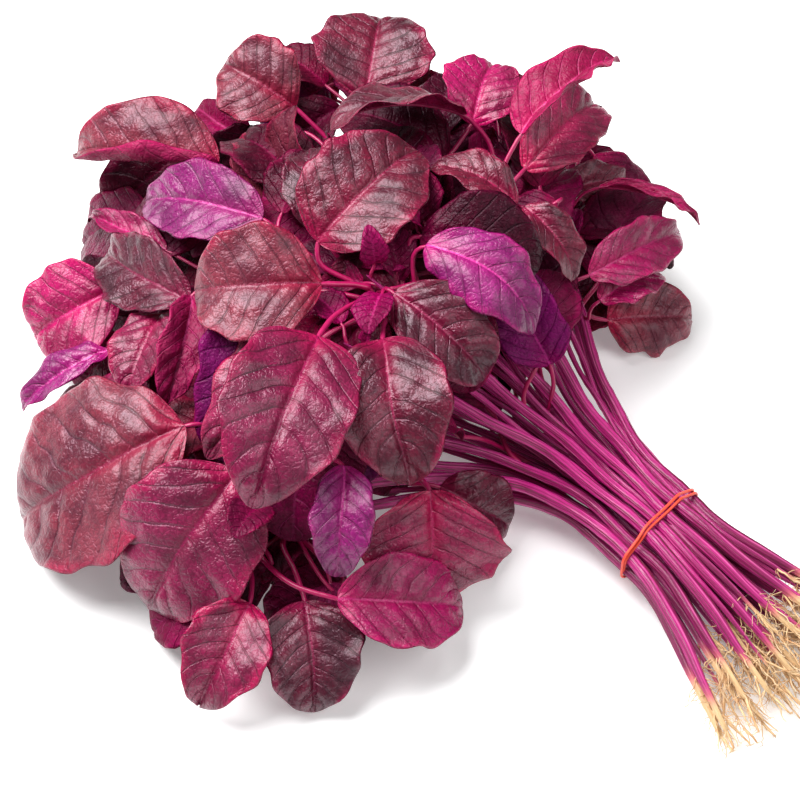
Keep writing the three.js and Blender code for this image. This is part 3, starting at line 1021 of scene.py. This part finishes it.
def make_finishes(looks):
    """Every material of the bunch, by name."""
    skin = leaf_skin_group()
    made = {
        "stalk": stalk_finish(),
        "stem": stem_finish(),
        "root": root_finish(),
        "band": band_finish(),
    }
    # The inner_ finishes are shaded copies of the same colours, duller and without wax: painted
    # shade for the leaves inside the crown
    for place, coat, gloss, under_gloss in (
        ("", looks.leaf_coat, 0.5, 0.4),
        ("inner_", 0.0, looks.inner_gloss, looks.inner_gloss),
    ):
        for slot, colours in LEAF_TONES.items():
            made[place + slot] = leaf_finish(
                place + slot, skin, colours, looks.leaf_roughness, coat, gloss
            )
        made[place + "underside"] = leaf_finish(
            place + "leaf_underside", skin, UNDERSIDE, 0.5, 0.0, under_gloss, 0.8, 0.2
        )
    return made


# ---------------------------------------------------------------- what is shared by the pieces

shared = {}


def toolbox(context):
    """The finishes, node trees and recovered CAD shapes, made once and kept."""
    if not shared:
        shared["finish"] = make_finishes(context.scene.amaranth_looks)
        shared["relief"] = relief_tree()
        shared["stem"] = stem_tree()
        shared["rootlets"] = rootlet_tree()
        shared["slots"] = {
            part["node"]: part["material_slot"] for part in frame["record"]["subparts"]
        }
        leaves = sorted(n for n in frame["nodes"] if n.startswith("leaf_"))
        stems = sorted(n for n in frame["nodes"] if n.startswith("stem_"))
        shared["leaves"] = {n: read_leaf(n, i + 1) for i, n in enumerate(leaves)}
        shared["stems"] = {n: read_stem(n) for n in stems}
    return shared


def leaf_inputs(settings, slot, place=""):
    """The relief's sizes and finishes; place is empty, or inner_ for leaves in the shade."""
    finish = shared["finish"]
    sizes = {
        "Quilting": settings.quilting,
        "Pucker": settings.pucker,
        "Undulation": settings.undulation,
        "Margin wave": settings.margin_wave,
        "Midrib valley": settings.valley,
        "Thickness": settings.thickness,
    }
    return {
        **{label: size / MM for label, size in sizes.items()},
        "Vein pairs": VEIN_PAIRS,
        "Vein lean": VEIN_LEAN,
        "Upper face": finish[place + slot],
        "Underside": finish[place + "underside"],
        "Stalk": finish["stalk"],
    }


# ---------------------------------------------------------------- settings


def size_setting(name, description, default):
    return FloatProperty(
        name=name, description=description, default=default, subtype="DISTANCE", unit="LENGTH"
    )


def share_setting(name, description, default, most=1):
    return FloatProperty(
        name=name, description=description, default=default, min=0, max=most, subtype="FACTOR"
    )


def angle_setting(name, description, degrees):
    return FloatProperty(
        name=name, description=description, default=math.radians(degrees),
        subtype="ANGLE", unit="ROTATION",
    )


def count_setting(name, description, default, least=0):
    return IntProperty(name=name, description=description, default=default, min=least)


class AmaranthLooks(bpy.types.PropertyGroup):
    """How glossy the leaves are."""

    leaf_roughness: share_setting("Leaf roughness", "Roughness of a leaf's upper face", 0.36)
    leaf_coat: share_setting("Leaf wax", "Strength of the waxy film on a leaf's upper face", 0.25)
    inner_gloss: share_setting(
        "Inner gloss", "Gloss of the leaves that lie in the crown's shade", 0.16
    )


class AmaranthLeaves(bpy.types.PropertyGroup):
    """Relief of the leaves, and the room of those inside the crown."""

    cell: size_setting("Cell", "Size of the cells that a large blade is made of", 1.15 * MM)
    fill_cell: size_setting(
        "Inner cell", "Size of the cells of the leaves inside the crown", 1.7 * MM
    )
    fullness: FloatProperty(
        name="Fullness", description="How full the outline is: lower is rounder",
        default=0.66, min=0.4, max=1,
    )
    thickness: size_setting("Thickness", "Thickness of a blade", 0.35 * MM)
    quilting: size_setting("Quilting", "How far the tissue bulges between side veins", 1.25 * MM)
    pucker: size_setting("Pucker", "Height of the small bumps between fine veins", 0.5 * MM)
    undulation: size_setting("Undulation", "Height of the slow waves of a blade", 2.4 * MM)
    margin_wave: size_setting("Margin wave", "Height of the ripples along the margin", 1.3 * MM)
    valley: size_setting("Midrib valley", "How far the midrib lies below the two halves", 2.2 * MM)
    inner_count: count_setting("Inner leaves", "Most leaves to grow inside the crown", 110)
    trials: count_setting("Trials", "Number of places tried for the inner leaves", 9000)
    fill_seed: count_setting("Seed", "Seed of the inner leaves", 5)
    stray: share_setting(
        "Stray share", "Share of an inner leaf that may show outside the crown", 0.1
    )
    gap_reach: size_setting(
        "Gap reach", "How far around a gap the large leaves have to lie", 50 * MM
    )
    fan_to: size_setting(
        "Fan to", "How far along the bunch leaves lie behind the open stems", 66 * MM
    )
    bare_from: size_setting(
        "Bare stems from", "Where the open stems begin, along the bunch", 22 * MM
    )


class AmaranthStems(bpy.types.PropertyGroup):
    """Shape of the stems."""

    step: size_setting("Step", "Distance between the sections of a stem", 2.5 * MM)
    rib_depth: share_setting(
        "Rib depth", "Depth of the ribs as a share of the radius", 0.13, most=0.3
    )
    slender_count: count_setting(
        "Slender stems", "Number of thin stems between the large ones", 24, least=1
    )
    slender_seed: count_setting("Seed", "Seed of the slender stems", 8)


class AmaranthRoots(bpy.types.PropertyGroup):
    """The fine side roots."""

    per_taproot: count_setting("Side roots", "Number of side roots on each taproot", 17)
    branches: count_setting("Branch roots", "Number of stronger roots on each taproot", 3)
    rooted_share: share_setting(
        "Rooted share", "Share of a stem's length that carries side roots", 0.115
    )
    shortest: size_setting("Shortest", "Length of the shortest side root", 4 * MM)
    longest: size_setting("Longest", "Length of the longest side root", 16 * MM)


class AmaranthStage(bpy.types.PropertyGroup):
    """Floor, lights and camera."""

    floor_colour: FloatVectorProperty(
        name="Floor", description="Colour of the floor", default=(0.93, 0.93, 0.93),
        size=3, subtype="COLOR", min=0, max=1,
    )
    floor_glow: FloatProperty(
        name="Floor glow", description="Light of the floor itself, which softens the shadows",
        default=0.22, min=0,
    )
    key_power: FloatProperty(
        name="Key light", description="Power of the large light above", default=24.0, unit="POWER",
    )
    sky: FloatProperty(name="Sky", description="Brightness of the surroundings", default=0.2, min=0)
    lens: FloatProperty(name="Lens", description="Focal length", default=85.0, unit="CAMERA")
    distance: size_setting("Distance", "From the camera to the point it looks at", 718.25 * MM)
    azimuth: angle_setting("Azimuth", "Direction that the camera looks in, from +Y towards -X", 61)
    elevation: angle_setting("Elevation", "Height of the camera above the horizon", 50)


# ---------------------------------------------------------------- operators

# Where a blade is tested: shares of its half width, and the first and last share of its length
SAMPLE_ACROSS = (-0.9, -0.45, 0, 0.45, 0.9)
SAMPLE_ALONG = (0.08, 0.96)
# The turn between one leaf of a shoot and the next, in radians
SPIRAL = 2.4


def view_back(settings):
    """The direction from the bunch to the camera."""
    turn, rise = settings.azimuth, settings.elevation
    return Vector((math.sin(turn) * math.cos(rise), -math.cos(turn) * math.cos(rise),
                   math.sin(rise)))


def folded(leaf, back, bend):
    """The leaf's two bends, with the half nearer the viewer stood up by this much."""
    _, _, right, _ = leaf.spine([0.5])
    cups = list(leaf.cups)
    cups[int(right[0] @ np.array(back) > 0)] = bend
    return tuple(cups)


class BuildHeroLeaves(bpy.types.Operator):
    """Shape every leaf of the frame with its veins, quilting and stalk"""

    bl_idname = "amaranth.leaves"
    bl_label = "Leaves"

    def execute(self, context):
        tools = toolbox(context)
        settings = context.scene.amaranth_leaves
        back = view_back(context.scene.amaranth_stage)
        for number, (node, leaf) in enumerate(tools["leaves"].items()):
            rng = np.random.default_rng(LEAF_SEED + number)
            if node in FOLDS:
                leaf.cups = folded(leaf, back, FOLDS[node])
            sheet = Sheet()
            add_blade(sheet, leaf, settings.cell, settings.fullness, rng)
            slot = OTHER_TONES.get(node, tools["slots"][node])
            inputs = leaf_inputs(settings, slot)
            if node in CRIMSON_FACES:
                inputs["Upper face"] = inputs["Underside"]
            piece = run_tree(f"{node}_blade", sheet.mesh(node + "_base"), tools["relief"], inputs)
            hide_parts(node)
        return {"FINISHED"}


def bezier(start, first, second, end, count=6):
    t = np.linspace(0, 1, count)[:, None]
    return (start * (1 - t) ** 3 + first * 3 * t * (1 - t) ** 2
            + second * 3 * t**2 * (1 - t) + end * t**3)


def blade_samples(leaf):
    """A few points over a blade, for testing where it would lie."""
    along = np.linspace(*SAMPLE_ALONG, len(SAMPLE_ACROSS))
    points, _, right, _ = leaf.spine(along)
    width = leaf.half * cad_outline(along, leaf.broad_at)
    return np.vstack([points + right * (width * share)[:, None] for share in SAMPLE_ACROSS])


def tree_of(nodes, keep=lambda centre: True):
    """A search tree over the faces of some CAD nodes."""
    points, faces = [], []
    for node in nodes:
        mesh = frame["nodes"][node].data
        shift = len(points)
        points += [v.co.copy() for v in mesh.vertices]
        faces += [[shift + i for i in f.vertices] for f in mesh.polygons if keep(f.center)]
    return BVHTree.FromPolygons(points, faces)


def upright(face, chord):
    """A face direction at right angles to a leaf's chord."""
    return unit(face - chord * (face @ chord))


def loose_cups(rng):
    return tuple(np.radians(rng.uniform(2, 24, 2)))


def grown_leaf(stem, along, turn, rng, reach, length, seed):
    """A leaf that grows from a stem at a share of its length, turned about it."""
    centres, _ = stem
    line = smooth_line(centres, 3 * MM)
    place = int(along * (len(line) - 2))
    root, way = line[place], unit(line[place + 1] - line[place])
    level = unit(np.cross(way, [0, 0, 1]))
    rise = np.cross(level, way)
    radial = level * math.cos(turn) + rise * math.sin(turn)
    lean = rng.uniform(0.35, 1.0)
    out = unit(way * lean + radial + [0, 0, rng.uniform(-0.1, 0.35)])
    base = root + out * reach
    chord = unit(out + way * rng.uniform(-0.2, 0.5) + [0, 0, rng.uniform(-0.75, 0.1)])
    face = unit(way * 0.3 + radial * 0.25 + [0, 0, 1.0] + rng.normal(0, 0.25, 3))
    half = length * rng.uniform(0.33, 0.42)
    bow = root + way * reach * 0.3 + out * reach * 0.2
    stalk = bezier(root, bow, base - chord * reach * 0.35, base)
    cups = loose_cups(rng)
    return Leaf(base, base + chord * length, upright(face, chord), length * rng.uniform(0.08, 0.2),
                half, rng.uniform(0.4, 0.5), cups, stalk, seed)


def younger_leaf(elder, back, rng, seed):
    """A leaf from the same shoot as another one, lower and turned aside from it."""
    chord = unit(elder.tip - elder.base)
    turn = rng.uniform(-1.3, 1.3)
    side = np.cross(back, chord)
    way = unit(chord * math.cos(turn) + side * math.sin(turn) + [0, 0, rng.uniform(-0.5, 0.1)])
    length = elder.length * rng.uniform(0.7, 1.05)
    base = elder.base - back * rng.uniform(6, 34) * MM + side * rng.uniform(-22, 22) * MM
    base = base + chord * rng.uniform(-16, 16) * MM
    face = unit(back * 0.6 + [0, 0, 0.8] + rng.normal(0, 0.3, 3))
    root = elder.stalk[0]
    reach = np.linalg.norm(base - root)
    stalk = bezier(root, root + (base - root) * 0.3, base - way * reach * 0.35, base)
    cups = loose_cups(rng)
    return Leaf(base, base + way * length, upright(face, way), length * rng.uniform(0.08, 0.18),
                length * rng.uniform(0.34, 0.42), rng.uniform(0.4, 0.5), cups, stalk, seed)


class Crown:
    """The room between the large leaves, as seen from the camera."""

    # Clear distances from the box, the large leaves, the stems and another inner leaf
    wall = 1.5 * MM
    ceiling = 1 * MM
    leaf_gap = 1.8 * MM
    stem_gap = 1.5 * MM
    inner_gap = 2.6 * MM
    # Size of the view's squares that the inner leaves are chosen to fill
    square = 5 * MM
    # Of the eight directions around a spot, those in which large leaves have to lie
    sectors = 6

    def __init__(self, tools, settings, back):
        self.settings, self.back = settings, back
        self.side = unit(np.cross([0, 0, 1], back))
        self.lift = np.cross(back, self.side)
        self.leaves = tree_of(tools["leaves"])
        self.stems = tree_of(tools["stems"])
        self.bare = tree_of(tools["stems"], lambda centre: centre[0] > settings.bare_from)
        outer = [blade_samples(leaf) for leaf in tools["leaves"].values()]
        outer += [line[line[:, 0] < settings.fan_to] for line, _ in tools["stems"].values()]
        outer = np.vstack(outer)
        self.plan = np.stack([outer @ self.side, outer @ self.lift], axis=1)

    def behind(self, tree, point):
        return tree.ray_cast(Vector(point), Vector(-self.back))[0]

    def has_room(self, spots):
        """Whether a blade stays in the box, clear of its neighbours and behind them."""
        low, high = (np.array(corner) for corner in CAD_BOX)
        if (spots < low + self.wall).any() or (spots > high - self.ceiling).any():
            return False
        for tree, gap in ((self.leaves, self.leaf_gap), (self.stems, self.stem_gap)):
            if any(tree.find_nearest(Vector(p), gap)[0] for p in spots):
                return False
        if sum(1 for p in spots if self.behind(self.leaves, p)) > 1:
            return False
        return not any(self.behind(self.bare, p) for p in spots)

    def seen(self, spots):
        """The spots that no large leaf hides."""
        toward = Vector(self.back)
        shown = [p for p in spots if not self.leaves.ray_cast(Vector(p), toward)[0]]
        return np.array(shown).reshape(-1, 3)

    def is_outside(self, spot):
        """Whether a spot shows beyond the crown's outline, and not in a gap within it."""
        away = self.plan - [spot @ self.side, spot @ self.lift]
        close = away[np.linalg.norm(away, axis=1) < self.settings.gap_reach]
        turns = np.arctan2(close[:, 1], close[:, 0]) / (math.pi / 4)
        return len(set(np.floor(turns).astype(int))) < self.sectors

    def squares(self, spots):
        return {
            (int(p @ self.side // self.square), int(p @ self.lift // self.square)) for p in spots
        }

    def choose(self, trials, most):
        """The leaves that fill the most of the view's open squares, clear of one another."""
        kept, taken = [], set()
        while trials and len(kept) < most:
            trials.sort(key=lambda trial: len(trial[2] - taken), reverse=True)
            leaf, spots, squares = trials.pop(0)
            if kept:
                others = np.vstack([s for _, s in kept])
                gaps = np.linalg.norm(others[None] - spots[:, None], axis=2)
                if gaps.min() < self.inner_gap:
                    continue
            kept.append((leaf, spots))
            taken |= squares
        return [leaf for leaf, _ in kept]


def trial_leaf(number, stems, elders, back, rng):
    """One more leaf to try inside the crown: from a stem, or beside a large leaf."""
    turn, seed = number // 2, FIRST_INNER + number
    if number % 2:
        return younger_leaf(elders[turn % len(elders)], back, rng, seed)
    length = rng.uniform(34, 64) * MM
    along = rng.uniform(0.5, 0.99)
    reach = rng.uniform(16, 44) * MM
    return grown_leaf(stems[turn % len(stems)], along, number * SPIRAL, rng, reach, length, seed)


class BuildInnerLeaves(bpy.types.Operator):
    """Grow the leaves inside the crown, where the large ones leave room"""

    bl_idname = "amaranth.inner_leaves"
    bl_label = "Inner leaves"

    # Each colour's share of the leaves
    tones = {
        "leaf_wine": 0.34,
        "leaf_dark": 0.27,
        "leaf_magenta": 0.23,
        "leaf_violet": 0.05,
        "leaf_brown": 0.11,
    }
    looseness = 1.6
    # Low tints darken these leaves, which also take the duller inner_ finishes: painted shade for
    # the inside of the crown
    tints = (-3.2, -0.8)

    def execute(self, context):
        tools = toolbox(context)
        settings = context.scene.amaranth_leaves
        rng = np.random.default_rng(settings.fill_seed)
        back = np.array(view_back(context.scene.amaranth_stage))
        crown = Crown(tools, settings, back)
        stems, elders = (list(tools[kind].values()) for kind in ("stems", "leaves"))
        trials = []
        for number in range(settings.trials):
            leaf = trial_leaf(number, stems, elders, back, rng)
            spots = blade_samples(leaf)
            if not crown.has_room(spots):
                continue
            seen = crown.seen(spots)
            if sum(crown.is_outside(p) for p in seen) <= settings.stray * len(spots):
                trials.append((leaf, spots, crown.squares(seen)))
        names, weights = list(self.tones), list(self.tones.values())
        sheets = {name: Sheet() for name in names}
        for leaf in crown.choose(trials, settings.inner_count):
            sheet = sheets[names[rng.choice(len(names), p=weights)]]
            add_blade(sheet, leaf, settings.fill_cell, settings.fullness, rng,
                      self.looseness, self.tints)
        for slot, sheet in sheets.items():
            if not sheet.count:
                continue
            name = slot.replace("leaf_", "inner_leaves_")
            inputs = leaf_inputs(settings, slot, "inner_")
            if slot == "leaf_magenta":
                inputs["Upper face"] = inputs["Underside"]
            piece = run_tree(name, sheet.mesh(name + "_base"), tools["relief"], inputs)
        return {"FINISHED"}


class BuildYoungLeaves(bpy.types.Operator):
    """Set a few small leaves at the tip of every shoot"""

    bl_idname = "amaranth.young_leaves"
    bl_label = "Young leaves"

    per_shoot = 4
    cell = 1.4 * MM
    # Shares of the stem's length at which the lowest grows, and between two of them
    lowest = 0.93
    apart = 0.022
    # Low tints and the duller inner_ finishes darken these leaves too: painted shade among the
    # shoots' tips
    tints = (-2.6, -1.0)
    # How much of a large leaf's relief a young one has
    relief = 0.35

    def execute(self, context):
        tools = toolbox(context)
        settings = context.scene.amaranth_leaves
        rng = np.random.default_rng(YOUNG_SEED)
        low, high = (np.array(corner) for corner in CAD_BOX)
        sheets = {"leaf_magenta": Sheet(), "leaf_wine": Sheet()}
        for number, stem in enumerate(tools["stems"].values()):
            for index in range(self.per_shoot):
                length = rng.uniform(9, 24) * MM
                seed = FIRST_YOUNG + number * self.per_shoot + index
                along = self.lowest + self.apart * index
                turn = number + index * SPIRAL
                leaf = grown_leaf(stem, along, turn, rng, length * 0.4, length, seed)
                spots = blade_samples(leaf)
                if (spots < low + 1 * MM).any() or (spots > high).any():
                    continue
                sheet = sheets["leaf_magenta" if index % 2 else "leaf_wine"]
                add_blade(sheet, leaf, self.cell, settings.fullness, rng, tints=self.tints)
        for slot, sheet in sheets.items():
            name = slot.replace("leaf_", "young_leaves_")
            inputs = leaf_inputs(settings, slot, "inner_")
            for label in ("Quilting", "Undulation", "Margin wave", "Pucker"):
                inputs[label] *= self.relief
            piece = run_tree(name, sheet.mesh(name + "_base"), tools["relief"], inputs)
        return {"FINISHED"}


def add_stem(sheet, centres, radii, step, rng):
    """A stem's line with its girth, faint leaf scars and a slight wobble."""
    line = smooth_line(centres, step)
    reach = distances(line)
    along = reach / reach[-1]
    girth = np.interp(reach, distances(centres), radii) / MM
    for scar in np.linspace(0.3, 0.97, 9) + rng.uniform(-0.02, 0.02, 9):
        girth *= 1 + 0.1 * np.exp(-(((along - scar) / 0.008) ** 2))
    # The shoot tapers over its last 6%, and the root's end is nearly a point
    girth *= ((1 - along) / 0.06).clip(0.3, 1)
    girth[0] = 0.2
    sway = rng.uniform(0, 6, 2)
    wobble = 0.7 * MM * np.sin(np.pi * along)[:, None] * np.stack(
        [np.sin(along * 23 + sway[0]), np.sin(along * 29 + sway[1]), 0 * along], axis=1)
    sheet.add(line + wobble, edges=chained(line), girth=girth, leaf_along=along, run=reach,
              leaf_tint=np.full(len(line), rng.uniform(-1, 1)))


def even_line(centres, radii, count):
    """A stem's line and its radii again, at evenly spaced points."""
    line = smooth_line(centres, 4 * MM)
    shares = np.linspace(0, 1, len(line))
    radii = np.interp(shares, np.linspace(0, 1, len(radii)), radii)
    reach = distances(line)
    places = np.linspace(0, reach[-1], count)
    even = np.stack([np.interp(places, reach, line[:, axis]) for axis in range(3)], axis=1)
    return even, np.interp(places, reach, radii)


def slender_lines(stems, back, settings):
    """Centre lines and radii of thin stems that run between neighbouring large ones."""
    rng = np.random.default_rng(settings.slender_seed)
    side = unit(np.cross([0, 0, 1], back))
    count = 25
    lines = [even_line(centres, radii, count) for centres, radii in stems]
    lines.sort(key=lambda pair: pair[0][count // 2] @ side)
    share = np.linspace(0, 1, count)
    # Where the bunch fans out, the thin stems stray the most
    fan = np.exp(-(((share - 0.55) / 0.2) ** 2))[:, None]
    made = []
    for number in range(settings.slender_count):
        odd = number % 2
        first = number * (len(lines) - 2) // max(1, settings.slender_count - 1)
        second = first + 1 + odd * (first + 2 < len(lines))
        (a, wide), (b, _) = lines[first], lines[second]
        blend = rng.uniform(0.35, 0.65)
        line = a * (1 - blend) + b * blend
        stray = side * rng.uniform(-5, 5) * MM + np.array([0, 0, rng.uniform(-6, 3)]) * MM
        line = line + fan * stray
        radii = wide * rng.uniform(0.5, 0.72)
        line[:, 2] = np.maximum(line[:, 2], radii * 1.2 + 0.4 * MM)
        made.append((line[odd : count - 2], radii[odd : count - 2]))
    return made


class BuildStems(bpy.types.Operator):
    """Shape every stem with its taproot"""

    bl_idname = "amaranth.stems"
    bl_label = "Stems"

    def execute(self, context):
        tools = toolbox(context)
        settings = context.scene.amaranth_stems
        inputs = {"Rib depth": settings.rib_depth, "Finish": tools["finish"]["stem"]}
        for number, (node, (centres, radii)) in enumerate(tools["stems"].items()):
            sheet = Sheet()
            rng = np.random.default_rng(STEM_SEED + number)
            add_stem(sheet, centres, radii, settings.step, rng)
            piece = run_tree(f"{node}_skin", sheet.mesh(node + "_line"), tools["stem"], inputs)
            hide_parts(node)
        return {"FINISHED"}


class BuildSlenderStems(bpy.types.Operator):
    """Add the thin stems between and beneath the large ones"""

    bl_idname = "amaranth.slender_stems"
    bl_label = "Slender stems"

    def execute(self, context):
        tools = toolbox(context)
        settings = context.scene.amaranth_stems
        back = np.array(view_back(context.scene.amaranth_stage))
        tools["slender"] = slender_lines(list(tools["stems"].values()), back, settings)
        sheet = Sheet()
        for number, (line, radii) in enumerate(tools["slender"]):
            rng = np.random.default_rng(SLENDER_SEED + number)
            add_stem(sheet, line, radii, settings.step, rng)
        inputs = {"Sides": 12, "Ribs": 4, "Rib depth": settings.rib_depth,
                  "Finish": tools["finish"]["stem"]}
        piece = run_tree("slender_stems", sheet.mesh("slender_line"), tools["stem"], inputs)
        return {"FINISHED"}


class BuildRootlets(bpy.types.Operator):
    """Grow fine side roots on every taproot"""

    bl_idname = "amaranth.rootlets"
    bl_label = "Side roots"

    def execute(self, context):
        tools = toolbox(context)
        settings = context.scene.amaranth_roots
        sheet = Sheet()
        for centres, _ in [*tools["stems"].values(), *tools["slender"]]:
            line = smooth_line(centres, 2 * MM)
            line = line[: max(8, round(settings.rooted_share * len(line)))]
            sheet.add(line, edges=chained(line))
        fine = {
            "Roots per taproot": settings.per_taproot,
            "Shortest": settings.shortest,
            "Longest": settings.longest,
            "Thickness": 0.24,
            "Floor": 0.26,
        }
        strong = {
            "Roots per taproot": settings.branches,
            "Shortest": settings.longest * 0.7,
            "Longest": settings.longest * 1.4,
            "Thickness": 0.6,
            "Floor": 0.65,
            "Curl": 2.2,
            "Spread": 0.4,
            "Seed": 11,
        }
        for name, inputs in (("side_roots", fine), ("branch_roots", strong)):
            inputs["Finish"] = tools["finish"]["root"]
            piece = run_tree(name, sheet.mesh(name + "_line"), tools["rootlets"], inputs)
        return {"FINISHED"}


class BuildBand(bpy.types.Operator):
    """Round off the rubber band, and draw it in onto the stems"""

    bl_idname = "amaranth.band"
    bl_label = "Rubber band"

    # How near the band's middle comes to a stem, how far one pull reaches, and its share
    rest = 0.9 * MM
    soften = 3 * MM
    pull_share = 0.9

    def drawn_in(self, places, stems):
        """The corners moved towards the nearest stems, by amounts evened out around each."""
        pull = []
        for place in places:
            towards = np.array(stems.find_nearest(Vector(place))[0]) - place
            pull.append(unit(towards) * max(np.linalg.norm(towards) - self.rest, 0))
        apart = np.linalg.norm(places[:, None] - places[None], axis=2)
        share = np.exp(-((apart / self.soften) ** 2))
        pull = (share @ np.array(pull)) / share.sum(axis=1, keepdims=True)
        return places + self.pull_share * pull

    def execute(self, context):
        tools = toolbox(context)
        skin = welded("rubber_band")
        bmesh.ops.join_triangles(
            skin, faces=skin.faces, angle_face_threshold=math.pi, angle_shape_threshold=math.pi
        )
        places = np.array([v.co[:] for v in skin.verts])
        for vertex, place in zip(skin.verts, self.drawn_in(places, tree_of(tools["stems"]))):
            vertex.co = place
        mesh = bpy.data.meshes.new("band")
        skin.to_mesh(mesh)
        skin.free()
        mesh.materials.clear()
        mesh.materials.append(tools["finish"]["band"])
        mesh.polygons.foreach_set("use_smooth", [True] * len(mesh.polygons))
        piece = bpy.data.objects.new("rubber_band_strands", mesh)
        context.scene.collection.objects.link(piece)
        round_off = piece.modifiers.new("Round", "SUBSURF")
        round_off.levels = round_off.render_levels = 2
        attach(piece, BODY)
        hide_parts("rubber_band")
        return {"FINISHED"}


def add_floor(scene, settings):
    size = 6.0
    corners = [(-size, -size, 0), (size, -size, 0), (size, size, 0), (-size, size, 0)]
    mesh = bpy.data.meshes.new("floor")
    mesh.from_pydata(corners, [], [(0, 1, 2, 3)])
    floor = bpy.data.objects.new("floor", mesh)
    scene.collection.objects.link(floor)
    material, graph, shader = new_material("floor_paint")
    feed_skin(graph, shader, {
        "Base Color": (*settings.floor_colour, 1),
        "Roughness": 0.8,
        "Emission Color": (1, 1, 1, 1),
        "Emission Strength": settings.floor_glow,
    })
    mesh.materials.append(material)


def add_sky(scene, settings):
    scene.world = scene.world or bpy.data.worlds.new("studio")
    scene.world.use_nodes = True
    background = scene.world.node_tree.nodes["Background"]
    background.inputs["Color"].default_value = (1, 1, 1, 1)
    background.inputs["Strength"].default_value = settings.sky


def facing(direction):
    """The turn that makes a camera or a lamp look this way."""
    return direction.to_track_quat("-Z", "Y").to_euler()


def add_camera(scene, settings, middle):
    back = view_back(settings)
    # The picture's centre lies a little beside the middle of the bunch
    aim = middle + Vector((10.9, -6.0, -14.5)) * MM
    camera = bpy.data.objects.new("camera", bpy.data.cameras.new("camera"))
    camera.data.lens, camera.data.sensor_width = settings.lens, 36.0
    camera.data.clip_start, camera.data.clip_end = 0.02, 20
    camera.location = aim + back * settings.distance
    camera.rotation_euler = facing(-back)
    scene.collection.objects.link(camera)
    scene.camera = camera


def add_lamps(scene, settings, middle):
    """A large round lamp above and behind, and a weaker one in front."""
    back = view_back(settings)
    side = back.cross(Vector((0, 0, 1))).normalized()
    for name, place, power in (
        ("key", back * -0.3 + side * 0.45 + Vector((0, 0, 1.1)), settings.key_power),
        ("fill", back * 0.8 - side * 0.8 + Vector((0, 0, 0.4)), settings.key_power * 0.3),
    ):
        lamp = bpy.data.objects.new(name, bpy.data.lights.new(name, "AREA"))
        lamp.data.shape, lamp.data.size, lamp.data.energy = "DISK", 0.9, power
        lamp.location = middle + place
        lamp.rotation_euler = facing(-place)
        scene.collection.objects.link(lamp)


class BuildStage(bpy.types.Operator):
    """Lay a pale floor, and set the lights and the camera"""

    bl_idname = "amaranth.stage"
    bl_label = "Stage"

    def execute(self, context):
        scene, settings = context.scene, context.scene.amaranth_stage
        middle = (CAD_BOX[0] + CAD_BOX[1]) / 2
        scene.view_settings.view_transform = "Standard"
        add_floor(scene, settings)
        add_sky(scene, settings)
        add_camera(scene, settings, middle)
        add_lamps(scene, settings, middle)
        return {"FINISHED"}


OPERATORS = [BuildStage, BuildHeroLeaves, BuildInnerLeaves, BuildYoungLeaves, BuildStems,
             BuildSlenderStems, BuildRootlets, BuildBand]
SETTINGS = {
    "amaranth_looks": AmaranthLooks,
    "amaranth_leaves": AmaranthLeaves,
    "amaranth_stems": AmaranthStems,
    "amaranth_roots": AmaranthRoots,
    "amaranth_stage": AmaranthStage,
}


class AmaranthPanel(bpy.types.Panel):
    """Sidebar panel with every size and every building step"""

    bl_idname = "VIEW3D_PT_amaranth"
    bl_label = "Red amaranth bunch"
    bl_space_type = "VIEW_3D"
    bl_region_type = "UI"
    bl_category = "Amaranth"

    def draw(self, context):
        for name in SETTINGS:
            group = getattr(context.scene, name)
            box = self.layout.box()
            for field in group.bl_rna.properties:
                if field.identifier not in ("rna_type", "name"):
                    box.prop(group, field.identifier)
        for operator in OPERATORS:
            self.layout.operator(operator.bl_idname)


def register():
    for cls in [*SETTINGS.values(), *OPERATORS, AmaranthPanel]:
        bpy.utils.register_class(cls)
    for name, cls in SETTINGS.items():
        setattr(bpy.types.Scene, name, PointerProperty(type=cls))


def unregister():
    for name in SETTINGS:
        delattr(bpy.types.Scene, name)
    for cls in reversed([*SETTINGS.values(), *OPERATORS, AmaranthPanel]):
        bpy.utils.unregister_class(cls)


def main():
    register()
    for operator in OPERATORS:
        group, name = operator.bl_idname.split(".")
        getattr(getattr(bpy.ops, group), name)()


if __name__ == "__main__":
    main()
